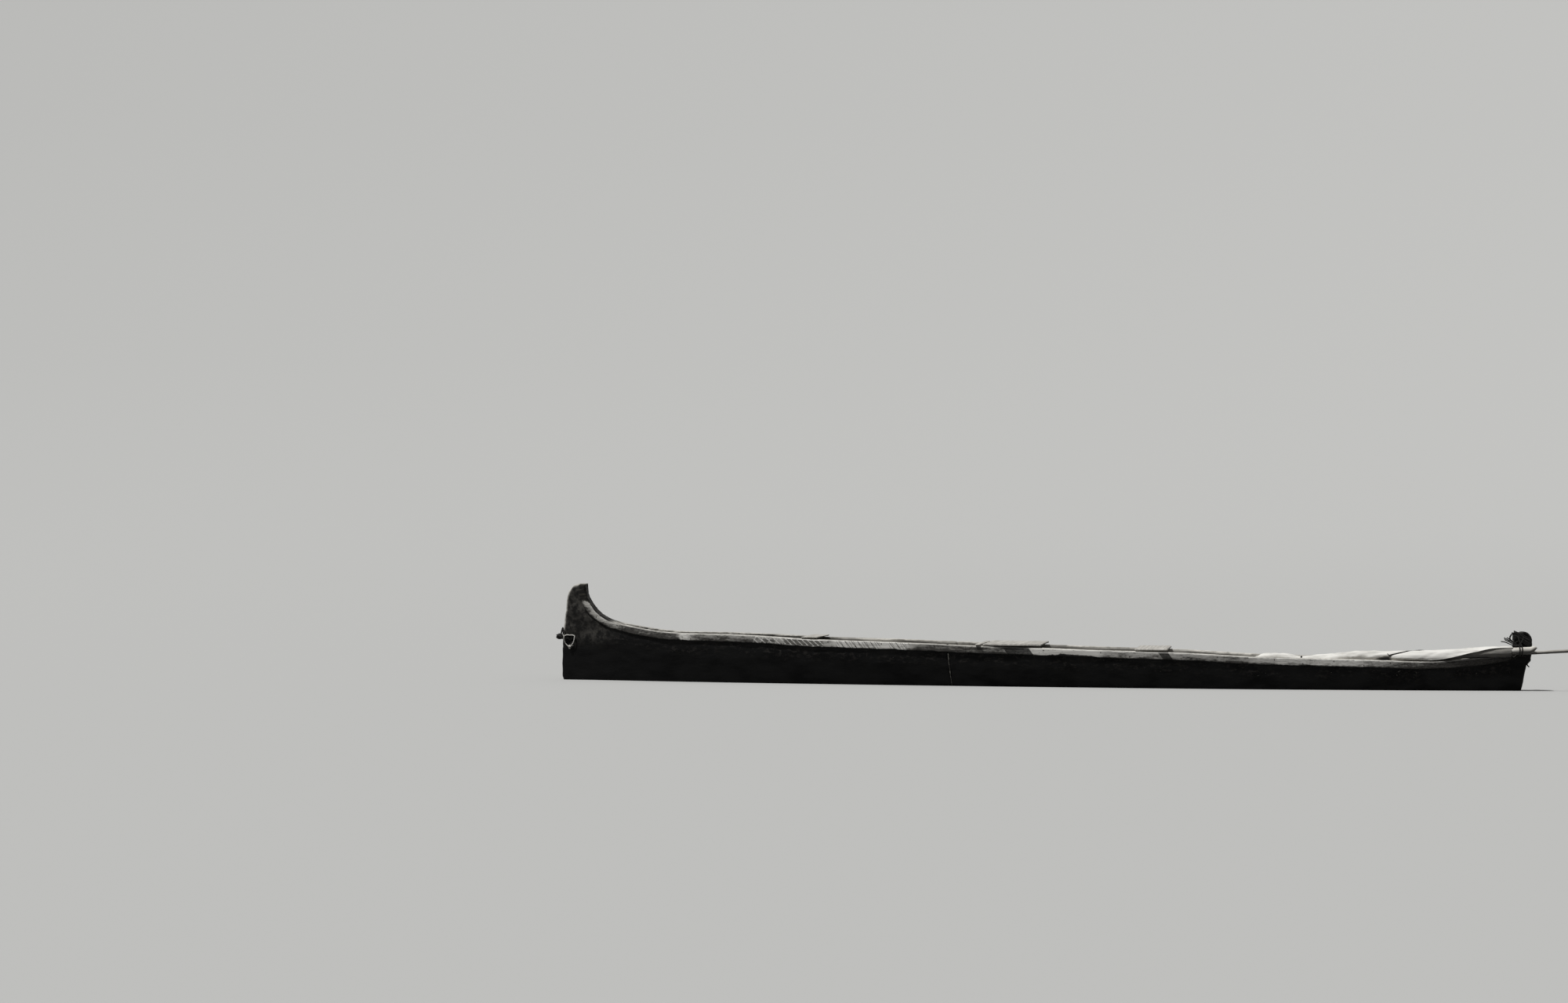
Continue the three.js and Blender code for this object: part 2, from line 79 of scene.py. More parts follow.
# The workbench: making, copying and finishing a mesh
def take(obj):
    bpy.ops.object.select_all(action="DESELECT")
    obj.select_set(True)
    bpy.context.view_layer.objects.active = obj


def tune(thing, settings):
    for key, value in settings.items():
        setattr(thing, key, value)


def finish_with(obj, kind, **settings):
    take(obj)
    mod = obj.modifiers.new(kind.lower(), kind)
    tune(mod, settings)
    bpy.ops.object.modifier_apply(modifier=mod.name)


def copy_of(node, name):
    """The node's own solid, its doubled corners merged."""
    obj = placed(name, nodes[node].data.copy())
    obj.data.materials.clear()
    take(obj)
    bpy.ops.object.mode_set(mode="EDIT")
    bpy.ops.mesh.select_all(action="SELECT")
    bpy.ops.mesh.remove_doubles(threshold=1e-5)
    bpy.ops.object.mode_set(mode="OBJECT")
    return obj


def join(parts, name):
    take(parts[0])
    for part in parts[1:]:
        part.select_set(True)
    bpy.ops.object.join()
    parts[0].name = name
    return parts[0]


def smooth_shade(obj, degrees):
    take(obj)
    bpy.ops.object.shade_smooth_by_angle(angle=radians(degrees))


def mark(obj, name, value_at):
    """Stores a number for each point, worked out from its place and normal."""
    layer = obj.data.attributes.new(name, "FLOAT", "POINT")
    points = obj.data.vertices
    layer.data.foreach_set("value", [value_at(p.co, p.normal) for p in points])


def weight(obj, name, value_at):
    group = obj.vertex_groups.new(name=name)
    for p in obj.data.vertices:
        group.add([p.index], max(0.0, min(1.0, value_at(p.co, p.normal))), "REPLACE")


def roughen(
    obj, kind, grain, depth, group="", stretch=(1, 1, 1), mid=0.5, direction="NORMAL", **look,
):
    """Moves the surface by a pattern of that grain, in metres."""
    pattern = bpy.data.textures.new("relief", kind)
    pattern.noise_scale = 1.0
    tune(pattern, look)
    ruler = placed("ruler", None)
    ruler.scale = [grain * s for s in stretch]
    bpy.context.view_layer.update()
    finish_with(
        obj, "DISPLACE", texture=pattern, texture_coords="OBJECT", texture_coords_object=ruler,
        strength=depth, mid_level=mid, vertex_group=group, direction=direction,
    )
    bpy.data.objects.remove(ruler)
    bpy.data.textures.remove(pattern)


def soften(obj, rounds, group=""):
    finish_with(obj, "SMOOTH", factor=0.5, iterations=rounds, vertex_group=group)


def recut(node, name, voxel):
    """The node's own shape in an even, fine mesh."""
    obj = copy_of(node, name)
    finish_with(obj, "REMESH", mode="VOXEL", voxel_size=voxel)
    return obj


def wear(node, name, voxel, soft, depth, grain, stretch=(4, 1, 1), mid=0.5):
    """A board or pole from the node's own shape, its edges worn round and faces uneven."""
    obj = recut(node, name, voxel)
    soften(obj, soft)
    roughen(obj, "CLOUDS", grain, depth, stretch=stretch, mid=mid, noise_depth=3)
    return obj


def from_bmesh(bm, name):
    mesh = bpy.data.meshes.new(name)
    bm.to_mesh(mesh)
    bm.free()
    return placed(name, mesh)


def settle(obj, finish, *stands_for):
    """Gives a piece its material, hangs it under the root and hides the nodes that it stands for;
    the finish's slot name is not used.
    """
    material, slot = finish
    obj.data.materials.clear()
    obj.data.materials.append(material)
    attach(obj, "root")
    if stands_for:
        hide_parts(*stands_for)


def between(a, b, v):
    """0 at a and beyond it, 1 at b and beyond, with a smooth run from one to the other."""
    u = min(1.0, max(0.0, (v - a) / (b - a)))
    return u * u * (3 - 2 * u)


# The rim's height by station, and the hull's outside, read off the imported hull
HULLS = ["hull_fore", "hull_aft"]
STRAKES = [n for n in nodes if n.startswith("strake_")]


def edge_of_strakes():
    edges = []
    for n in STRAKES:
        mesh = nodes[n].data
        for e in mesh.edges:
            a, b = (mesh.vertices[i].co for i in e.vertices)
            edges.append((a, b) if a.x < b.x else (b, a))
    line = []
    for i in range(-315, 310):
        x = i / 100
        tops = [
            a.z + (b.z - a.z) * (x - a.x) / (b.x - a.x)
            for a, b in edges if a.x <= x <= b.x and b.x - a.x > 1e-5
        ]
        if tops:
            line.append((x, max(tops)))
    return line


# A strake's upper edge stands 3 mm below the log's rim
RIM = [(x, z + 0.003) for x, z in edge_of_strakes()]


BOW_HEAD, BOW_TOP = -3.15, 0.66
STERN_HEAD, STERN_TOP = 3.08, 0.389


def rim_at(x):
    if x < BOW_HEAD:
        return BOW_TOP
    if x > STERN_HEAD:
        return STERN_TOP
    for (xa, za), (xb, zb) in zip(RIM, RIM[1:]):
        if x <= xb:
            return za + (zb - za) * max(0.0, (x - xa) / (xb - xa))
    return RIM[-1][1]


def meshes_as_tree(names):
    verts, faces = [], []
    for n in names:
        base = len(verts)
        verts += [p.co.copy() for p in nodes[n].data.vertices]
        faces += [[base + i for i in f.vertices] for f in nodes[n].data.polygons]
    return BVHTree.FromPolygons(verts, faces)


hull_tree = meshes_as_tree(HULLS)
edge_tree = meshes_as_tree(HULLS + STRAKES)


def struck(tree, start, way):
    """Where a surface is first met, or nothing."""
    return tree.ray_cast(Vector(start), Vector(way))[0]


def half_breadth(x, z):
    """Outside half breadth of the log at a station and height."""
    side = struck(hull_tree, (x, -0.8, z), (0, 1, 0))
    return -side.y if side else 0.0


# Finishes
def paint_value(hex_code):
    value = int(hex_code, 16)
    parts = [(value >> shift & 255) / 255 for shift in (16, 8, 0)]
    lin = [c / 12.92 if c <= 0.04045 else ((c + 0.055) / 1.055) ** 2.4 for c in parts]
    return (*lin, 1.0)


def lay(beside, kind, values=None, feeds=None, **settings):
    """Adds one node to the tree that a socket is in: settings, sockets' values and feeds."""
    tree = beside.id_data
    node = tree.nodes.new("ShaderNode" + kind)
    tune(node, settings)
    for socket, value in (values or {}).items():
        node.inputs[socket].default_value = value
    for socket, source in (feeds or {}).items():
        tree.links.new(source, node.inputs[socket])
    return node


def shader_of(mat):
    return mat.node_tree.nodes["Principled BSDF"].inputs


def new_finish(name, roughness, specular=0.35, others=None):
    """A finish with its shader's plain values, and the place that its patterns go by."""
    mat = bpy.data.materials.new(name)
    mat.use_nodes = True
    values = {"Roughness": roughness, "Specular IOR Level": specular, **(others or {})}
    for socket, value in values.items():
        shader_of(mat)[socket].default_value = value
    return mat, lay(mat.node_tree, "TexCoord").outputs["Object"]


def coat(mat, colour, bumps):
    """Gives the shader its colour and a stack of bumps, from coarse to fine:
    (height source, depth in metres, strength)."""
    tree = mat.node_tree
    tree.links.new(colour, shader_of(mat)["Base Color"])
    below = {}
    for height, depth, strength in bumps:
        values = {"Distance": depth, "Strength": strength}
        bump = lay(tree, "Bump", values, {"Height": height, **below})
        below = {"Normal": bump.outputs[0]}
    tree.links.new(bump.outputs[0], shader_of(mat)["Normal"])
    return mat


def scaled(where, size, offset=(0, 0, 0)):
    values = {"Scale": size, "Location": offset}
    return lay(where, "Mapping", values, {"Vector": where}).outputs[0]


def streaks(where, spacing, detail=4.0, rough=0.55, offset=(0, 0, 0)):
    """Noise whose lumps are spacing (x, y, z) metres long."""
    values = {"Scale": 1.0, "Detail": detail, "Roughness": rough}
    mapped = scaled(where, [1 / s for s in spacing], offset)
    return lay(where, "TexNoise", values, {"Vector": mapped}).outputs["Fac"]


def band(source, low, high, start=0.0, end=1.0, curve="SMOOTHSTEP"):
    """Turns a value from low..high into start..end, held at both ends."""
    values = {"From Min": low, "From Max": high, "To Min": start, "To Max": end}
    mapped = lay(source, "MapRange", values, {"Value": source}, interpolation_type=curve)
    return mapped.outputs["Result"]


def blend(share, first, second):
    """The first colour where share is 0, the second where it is 1; hex codes or sockets."""
    values, feeds = {}, {0: share}
    for socket, colour in ((6, first), (7, second)):
        if isinstance(colour, str):
            values[socket] = paint_value(colour)
        else:
            feeds[socket] = colour
    return lay(share, "Mix", values, feeds, data_type="RGBA").outputs[2]


def reckon(what, a, b=None):
    """Sums with a socket, and with a second socket or a number."""
    values, feeds = {}, {0: a}
    if isinstance(b, (int, float)):
        values[1] = b
    elif b is not None:
        feeds[1] = b
    return lay(a, "Math", values, feeds, operation=what).outputs[0]


def times(a, b):
    return reckon("MULTIPLY", a, b)


def plus(a, b):
    return reckon("ADD", a, b)


def most(a, b):
    return reckon("MAXIMUM", a, b)


def from_mark(where, name):
    """Reads what mark() stored."""
    return lay(where, "Attribute", attribute_name=name).outputs["Fac"]


def tarred_hewn_log():
    """Log hewn with an adze and tarred outside: near black, satin, mottled grey where the weather
    has worn the head, bare grey inside, pale where hands and ropes rub its edges.
    It also carries painted light: highlight on those edges, lit patches and glints under the
    strakes, and painted shade in the painter hole and inside the bow."""
    mat, where = new_finish("tarred_hewn_log", 0.7, 0.13)
    long_streak = streaks(where, (0.45, 0.02, 0.022), 6)
    fibre = streaks(where, (0.14, 0.004, 0.004), 3)
    patch = streaks(where, (0.22, 0.12, 0.09), 5, 0.6, (3, 1, 2))
    mottle = streaks(where, (0.035, 0.03, 0.035), 5, 0.65, (1, 8, 4))
    tar = blend(band(long_streak, 0.42, 0.66), "030303", "070707")
    tar = blend(band(fibre, 0.56, 0.75, 0, 0.5), tar, "0d0d0c")
    # Lighter patches in the hand's breadth under the strakes, partly dry chipped tar and partly
    # painted light where the upper side faces the sky, with a few painted glints
    chips = streaks(where, (0.040, 0.03, 0.020), 5, 0.65, (2, 0, 7))
    band_under_strakes = band(from_mark(where, "below_rim"), 0.09, 0.17, 1, 0)
    dry = times(band_under_strakes, band(chips, 0.50, 0.64))
    tar = blend(times(dry, band(patch, 0.35, 0.6, 0.25, 1)), tar, "2e2c2a")
    painted_glints = streaks(where, (0.018, 0.012, 0.012), 2, 0.5, (6, 3, 0))
    painted_glints = times(band(painted_glints, 0.70, 0.76), band(patch, 0.5, 0.6))
    tar = blend(times(painted_glints, band_under_strakes), tar, "77746d")
    mottled = blend(band(mottle, 0.40, 0.60), "161615", "4a4844")
    mottled = blend(band(patch, 0.42, 0.62, 0, 0.6), mottled, "1b1a18")
    mottled = blend(times(scratches(where), 0.35), mottled, "5f5c56")
    tar = blend(times(from_mark(where, "head"), 0.9), tar, mottled)
    bare = blend(band(long_streak, 0.35, 0.65), "4b4944", "76736c")
    bare = blend(band(patch, 0.5, 0.7, 0, 0.6), bare, "403c36")
    # Bare wood inside is darker further down the hollow
    darker_low = band(from_mark(where, "below_rim"), 0.06, 0.3)
    bare = blend(times(darker_low, 0.75), bare, "1f1d1a")
    colour = blend(from_mark(where, "inside"), tar, bare)
    # Painted shade, black round the painter hole and in part inside the bow
    colour = blend(times(from_mark(where, "shade_fore"), 0.95), colour, "040404")
    # Pale rubbed wood along the edges, partly a painted highlight where they catch the light
    rubbed = blend(band(long_streak, 0.3, 0.6), "8f8c85", "cbc8c0")
    worn = times(from_mark(where, "rubbed"), band(mottle, 0.25, 0.6, 0.5, 1.0))
    colour = blend(worn, colour, rubbed)
    gloss = band(patch, 0.3, 0.7, 0.55, 0.85)
    mat.node_tree.links.new(gloss, shader_of(mat)["Roughness"])
    return coat(mat, colour, [(patch, 0.004, 0.5), (chips, 0.005, 0.5), (fibre, 0.0012, 0.6)])


def scratches(where):
    """Fine scrapes that run down and aft across the head."""
    values = {"Rotation": (0, 0.75, 0), "Scale": (0.045, 0.02, 0.006)}
    turned = lay(where, "Mapping", values, {"Vector": where}, vector_type="TEXTURE")
    values = {"Scale": 1.0, "Detail": 4.0, "Roughness": 0.6, "Distortion": 1.6}
    scrape = lay(where, "TexNoise", values, {"Vector": turned.outputs[0]})
    return band(scrape.outputs["Fac"], 0.60, 0.72)


def window(x, start, end, soft=0.02):
    """1 between two stations, fading over soft metres outside them."""
    return times(band(x, start - soft, start), band(x, end, end + soft, 1, 0))


def strokes(x, depth, lean, apart, wide):
    """Slanting strokes painted across a strake: 1 on a stroke, 0 between."""
    slant = plus(x, times(depth, lean))
    wave = reckon("PINGPONG", slant, apart / 2)
    return band(wave, wide * 0.35, wide * 0.65, 1, 0)


# How much paint is left on a strake, by station; the low values at the bow, amidships from -0.84
# to -0.28 and aft under the sail also stand for painted shade
PAINT_LEFT_AND_SHADE = [
    (-3.17, 0.58), (-2.94, 0.48), (-2.86, 0.30), (-2.50, 0.32), (-2.46, 1.00), (-2.36, 0.46),
    (-1.98, 0.52), (-1.42, 0.66), (-1.36, 1.00), (-0.95, 0.95), (-0.84, 0.36), (-0.28, 0.42),
    (-0.07, 1.00), (0.34, 0.95), (0.42, 0.62), (0.76, 0.60), (1.18, 0.54), (1.24, 0.40),
    (1.42, 0.66), (2.05, 0.80), (2.30, 0.45), (2.60, 0.16), (3.10, 0.10),
]


def paint_left_and_shade(x):
    """The paint left, with its painted shade, as a ramp over the stations."""
    fore, aft = -3.3, 3.2
    ramp = lay(x, "ValToRGB", feeds={"Fac": band(x, fore, aft, curve="LINEAR")})
    stops = ramp.color_ramp.elements
    stops.remove(stops[1])
    for i, (station, left) in enumerate(PAINT_LEFT_AND_SHADE):
        at = (station - fore) / (aft - fore)
        stop = stops.new(at) if i else stops[0]
        stop.position = at
        stop.color = (left, left, left, 1)
    return ramp.outputs["Color"]


def worn_painted_plank():
    """Sawn plank with thin pale paint, rubbed off along its edges and grey with dirt."""
    mat, where = new_finish("worn_painted_plank", 0.85, 0.2)
    x = lay(where, "SeparateXYZ", feeds={"Vector": where}).outputs["X"]
    depth = from_mark(where, "below_rim")
    grain = streaks(where, (0.35, 0.006, 0.006), 6)
    fine = streaks(where, (0.15, 0.0025, 0.003), 3)
    dirt = streaks(where, (0.10, 0.05, 0.022), 6, 0.65, (5, 0, 1))
    spots = streaks(where, (0.018, 0.012, 0.010), 4, 0.6)
    left = paint_left_and_shade(x)
    flaking = plus(times(dirt, 0.7), times(spots, 0.3))
    flaking = reckon("SUBTRACT", flaking, band(depth, 0.016, 0.05, 0, 0.13))
    covered = band(plus(flaking, times(left, 0.5)), 0.60, 0.84)
    wood = blend(band(grain, 0.42, 0.66), "454340", "2a2826")
    wood = blend(band(fine, 0.52, 0.7, 0, 0.6), wood, "6b6963")
    paint = blend(band(grain, 0.45, 0.7), "e2e0da", "b3b1ab")
    paint = blend(band(left, 0.4, 0.9, 0.8, 0.0), paint, "8f8d87")
    paint = blend(band(spots, 0.58, 0.72, 0, 0.6), paint, "5a5852")
    colour = blend(covered, wood, paint)
    # Ornament: slanting pale strokes over fine cross-hatching between pale borders
    ground = window(x, -1.74, -1.49)
    hatch = most(strokes(x, depth, 0.8, 0.011, 0.005), strokes(x, depth, -0.8, 0.011, 0.005))
    colour = blend(times(ground, 0.7), colour, "5f5d58")
    colour = blend(times(times(ground, hatch), 0.4), colour, "2b2926")
    pale = strokes(x, depth, -1.15, 0.038, 0.010)
    border = most(band(depth, 0.008, 0.011, 1, 0), band(depth, 0.044, 0.047))
    pale = times(most(pale, border), ground)
    back = times(strokes(x, depth, 0.5, 0.051, 0.008), 0.6)
    zigzag = most(strokes(x, depth, -1.3, 0.051, 0.011), back)
    zigzag = times(zigzag, window(x, -1.95, -1.76))
    rubbed = band(spots, 0.35, 0.6, 0.95, 0.35)
    drawn = times(most(pale, zigzag), rubbed)
    colour = blend(drawn, colour, "eceae4")
    # Dark scores cut aslant through the paint
    cut = most(strokes(x, depth, -0.85, 0.043, 0.006), strokes(x, depth, -0.6, 0.029, 0.003))
    scored = times(cut, most(window(x, -1.38, -1.10), window(x, -1.02, -0.90)))
    colour = blend(times(scored, 0.8), colour, "33312e")
    # Two painted shadows across, cast by things that overhang the strake, their ends slanting aft
    # and down
    leaning = plus(x, times(depth, -0.75))
    dark = most(window(leaning, -0.268, -0.098, 0.004), window(leaning, 0.765, 0.825, 0.006))
    dark = times(dark, band(spots, 0.3, 0.65, 1.0, 0.88))
    colour = blend(dark, colour, "262523")
    # A pale lip, rubbed and partly a painted highlight where the top edge catches the light, and a
    # dark foot, partly dirt and partly a painted shadow line along the lower edge, that is eaten
    # away amidships
    lip = times(band(depth, 0.0, 0.011, 1, 0), band(dirt, 0.3, 0.6, 0.9, 0.5))
    colour = blend(lip, colour, "dddbd5")
    foot = band(plus(depth, times(dirt, 0.012)), 0.050, 0.062)
    scallop = window(x, 0.07, 0.33, 0.07)
    wave = streaks(where, (0.10, 5.0, 0.05), 4, 0.6, (3, 0, 0))
    eaten = plus(plus(depth, times(wave, 0.05)), times(scallop, 0.014))
    foot = most(times(foot, 0.8), band(eaten, 0.072, 0.079))
    colour = blend(foot, colour, "161514")
    # No paint inside or up the head, where the wood is dark and weathered in bars; on the faces
    # turned aft behind the head this dark is also painted shade
    bars = streaks(where, (0.05, 0.2, 0.008), 3, 0.5, (4, 2, 0))
    bare = blend(band(bars, 0.42, 0.62), "141312", "37352f")
    bare = blend(band(spots, 0.45, 0.7, 0, 0.6), bare, "24221f")
    ragged = band(spots, 0.3, 0.7, -0.25, 0.25)
    unpainted = band(plus(from_mark(where, "unpainted"), ragged), 0.35, 0.65)
    # Its inner face is dark at the bow, partly painted shade where the inside lies in shadow, and
    # dry and pale further aft, with a pale lip that is rubbed and partly a painted highlight where
    # the top edge catches the light
    dry = blend(band(grain, 0.42, 0.66), "aba8a1", "7f7c75")
    bare = blend(band(x, -2.55, -2.35), bare, dry)
    thin_lip = times(band(depth, 0.001, 0.005, 1, 0), band(x, -2.95, -2.85))
    inner_lip = most(thin_lip, times(lip, band(x, -2.45, -2.3)))
    bare = blend(inner_lip, bare, "dddbd5")
    colour = blend(unpainted, colour, bare)
    return coat(mat, colour, [(dirt, 0.002, 0.5), (grain, 0.0015, 0.6), (spots, 0.0008, 0.4)])


def bare_board(name, across, pale, dark):
    """Bare softwood gone silver grey: open grain along the board, dark checks between."""
    mat, where = new_finish(name, 0.85)
    run = (0.014, 0.7, 0.02) if across else (0.6, 0.02, 0.02)
    fine = (0.003, 0.25, 0.003) if across else (0.25, 0.003, 0.003)
    rings = streaks(where, run, 4, 0.5)
    fibre = streaks(where, fine, 3)
    blot = streaks(where, (0.13, 0.13, 0.13), 4, 0.6, (2, 7, 1))
    colour = blend(band(rings, 0.36, 0.64), pale, dark)
    colour = blend(band(fibre, 0.52, 0.7, 0, 0.4), colour, "55524c")
    colour = blend(band(blot, 0.52, 0.75, 0, 0.4), colour, "605d57")
    check = reckon("ABSOLUTE", reckon("SUBTRACT", rings, 0.52))
    crack = band(check, 0.0, 0.010, 1, 0)
    colour = blend(times(crack, 0.5), colour, "2d2a27")
    return coat(mat, colour, [(rings, 0.003, 0.5), (fibre, 0.001, 0.7)])


def peeled_pole(name, pale, dark):
    """Sapling stripped of its bark and rubbed by hands: pale, smooth, dark at the knots."""
    mat, where = new_finish(name, 0.55)
    streak = streaks(where, (0.4, 0.006, 0.006), 5)
    tone = streaks(where, (0.25, 0.06, 0.06), 3, 0.5, (1, 4, 2))
    cells = {"Vector": scaled(where, (6, 18, 18))}
    spot = lay(where, "TexVoronoi", {"Scale": 1.0, "Randomness": 1.0}, cells).outputs["Distance"]
    colour = blend(band(tone, 0.35, 0.65), pale, dark)
    colour = blend(band(streak, 0.5, 0.7, 0, 0.45), colour, "77736b")
    knot = band(spot, 0.05, 0.16, 1, 0)
    colour = blend(times(knot, 0.75), colour, "37342f")
    # Its underside is darker: painted shade where the light from above does not reach
    darker_low = times(from_mark(where, "underside"), band(tone, 0.3, 0.6, 0.95, 0.75))
    colour = blend(darker_low, colour, "33312d")
    return coat(mat, colour, [(tone, 0.003, 0.4), (streak, 0.001, 0.6)])


def bleached_cotton():
    """Plain-woven cotton sailcloth, washed soft: near white, creased, with a little soil."""
    others = {"Sheen Weight": 0.25, "Sheen Roughness": 0.5}
    mat, where = new_finish("bleached_cotton", 0.9, others=others)
    crease = streaks(where, (0.16, 0.03, 0.03), 6, 0.6)
    soil = streaks(where, (0.3, 0.1, 0.1), 5, 0.6, (6, 2, 3))
    colour = blend(band(soil, 0.4, 0.72), "e3e1db", "b9b7b0")
    colour = blend(band(crease, 0.5, 0.75, 0, 0.35), colour, "a09d96")
    # Painted shade where it lies low against the boat and under the free edge, near black in the
    # hollow by the crossing cord
    cloth_shade = blend(band(crease, 0.35, 0.65), "4a4844", "76736c")
    colour = blend(band(from_mark(where, "painted_shade_share"), 0.0, 1.0), colour, cloth_shade)
    colour = blend(band(from_mark(where, "painted_shade_share"), 1.0, 2.0), colour, "121110")
    # Threads are drawn 1.6 mm apart, coarser than the real 0.6 mm, so that they show
    thread = {"Scale": 98.0, "Distortion": 0.4}, {"Vector": lay(where, "UVMap").outputs[0]}
    warp, weft = (lay(where, "TexWave", *thread, bands_direction=way) for way in "XY")
    weave = times(warp.outputs["Fac"], weft.outputs["Fac"])
    return coat(mat, colour, [(crease, 0.004, 0.6), (weave, 0.0003, 0.3)])


def fibre_rope(name, dark, pale):
    """Hand-laid plant-fibre rope: hairy strands, darker in patches."""
    mat, where = new_finish(name, 0.92)
    hair = streaks(where, (0.004, 0.004, 0.004), 5, 0.7)
    tone = streaks(where, (0.06, 0.06, 0.06), 3)
    colour = blend(band(hair, 0.35, 0.7), dark, pale)
    colour = blend(band(tone, 0.5, 0.7, 0, 0.5), colour, dark)
    return coat(mat, colour, [(hair, 0.0015, 0.8)])


def caulking():
    """Moss and lime pressed into the seam: crumbly and pale."""
    mat, where = new_finish("caulking", 0.95)
    crumb = streaks(where, (0.006, 0.006, 0.006), 4, 0.7)
    lump = streaks(where, (0.03, 0.03, 0.03), 3, 0.6)
    colour = blend(band(crumb, 0.35, 0.65), "4a4844", "7b7872")
    colour = blend(band(lump, 0.55, 0.7), colour, "b5b2ab")
    return coat(mat, colour, [(crumb, 0.002, 0.8)])


def forged_iron():
    """Hand-forged nail heads, rusted brown-black."""
    mat, where = new_finish("forged_iron", 0.75, others={"Metallic": 0.6})
    rust = streaks(where, (0.004, 0.004, 0.004), 4, 0.6)
    colour = blend(band(rust, 0.4, 0.6), "1f1c1a", "3b332e")
    return coat(mat, colour, [(rust, 0.0008, 0.7)])


# Each finish with a slot name, which nothing below reads
LOG = tarred_hewn_log(), "tarred_log"
CAULK = caulking(), "tarred_log"
PLANK = worn_painted_plank(), "weathered_strake"
IRON = forged_iron(), "weathered_strake"
BOARD = bare_board("weathered_board", True, "bcb9b2", "a7a49d"), "grey_board"
BLOCK = bare_board("weathered_block", False, "8a8781", "5a5751"), "grey_board"
POLE = peeled_pole("peeled_pole", "e4e1da", "c2beb5"), "spar_wood"
GREY_POLE = peeled_pole("weathered_pole", "b8b5ae", "8f8c85"), "spar_wood"
CANVAS = bleached_cotton(), "sailcloth"
TARRED_ROPE = fibre_rope("tarred_rope", "0b0b0a", "2f2d2a"), "dark_rope"
GREY_CORD = fibre_rope("bleached_cord", "a5a39c", "f2f0ea"), "light_cord"
FRAYED_CORD = fibre_rope("frayed_cord", "2b2926", "5f5c56"), "light_cord"


# The log, hewn in two lengths
SEAM_AT = -0.609
SEAM_LEAN = 0.11
HOLLOW = (-2.95, 2.895)
HEAD = Vector((3.155, 0, 0))


def inside_log(co, n):
    """1 on the hollow's sides and floor."""
    if not HOLLOW[0] < co.x < HOLLOW[1]:
        return 0.0
    towards_side = n.y * (1 if co.y > 0 else -1)
    facing_in = towards_side < -0.12 or (n.z > 0.3 and co.z < rim_at(co.x) - 0.03)
    return 1.0 if facing_in and co.z < rim_at(co.x) + 0.01 else 0.0


def head_of_log(co, n):
    """1 on the bow's head, fading down its foot."""
    return between(-2.9, -3.1, co.x) * between(0.2, 0.34, co.z)


def worn_and_lit_edge(co, n):
    """Where the log is rubbed pale, and where painted highlight stands for the light that these
    edges catch: the head's top and front, and the lip of the rim.
    """
    depth = rim_at(co.x) - co.z
    if co.x < -3.0:
        top = between(0.63, 0.65, co.z) * between(0.1, 0.6, n.z)
        front = between(-0.35, -0.7, n.x) * between(0.28, 0.36, co.z)
        return max(top, front)
    if co.x > 3.05:
        return 0.10 * between(0.36, 0.385, co.z)
    thin = between(-1.2, -1.6, co.x) * between(0.1, -0.2, n.y * copysign(1, co.y))
    worn = between(0.018 - 0.010 * thin, 0.008 - 0.003 * thin, depth)
    return worn * between(-3.0, -2.9, co.x)


def painted_shade_fore(co, n):
    """Painted shade: black round the painter hole, for its dark inside, and dark inside the bow,
    partly painted shade where the hollow lies in shadow.
    """
    away = hypot((co.x + 3.272) / 0.030, (co.z - 0.272) / 0.036)
    in_bow = 0.65 * inside_log(co, n) * between(-1.2, -1.8, co.x)
    return max(between(1.25, 0.85, away), in_bow)


def clear_of_planks(co, n):
    """0 where a strake, board or cord bears on the log, 1 where the adze shows."""
    if abs(co.x - SEAM_AT) < 0.02 or abs(co.z - 0.28) < 0.045 and co.x < -3.2:
        return 0.0
    if co.x > 3.05 and co.z > 0.24:
        return 0.3
    return between(0.056, 0.075, rim_at(co.x) - co.z) if co.x > -3.2 else 0.7


def hewn_log(node, name, voxel):
    skin = recut(node, name, voxel)
    weight(skin, "faces", clear_of_planks)
    soften(skin, 14, "faces")
    roughen(skin, "VORONOI", 0.085, 0.006, "faces", (1.5, 1, 0.8), mid=0.4)
    roughen(skin, "CLOUDS", 0.3, 0.006, "faces", (2, 1, 0.6), noise_depth=2)
    if node == "hull_aft":
        # The rope has worn a neck in the stern head
        for p in skin.data.vertices:
            deep = 0.0065 * between(3.06, 3.09, p.co.x)
            deep *= between(0.293, 0.304, p.co.z) * between(0.388, 0.378, p.co.z)
            out = Vector((p.co.x - HEAD.x, p.co.y, 0))
            p.co -= out.normalized() * min(deep, out.length * 0.5)
    mark(skin, "below_rim", lambda co, n: max(0.0, rim_at(co.x) - co.z))
    mark(skin, "inside", inside_log)
    mark(skin, "head", head_of_log)
    mark(skin, "rubbed", worn_and_lit_edge)
    mark(skin, "shade_fore", painted_shade_fore)
    smooth_shade(skin, 50)
    settle(skin, LOG, node)


hewn_log("hull_fore", "hewn_log_fore", 0.0103)
hewn_log("hull_aft", "hewn_log_aft", 0.0113)


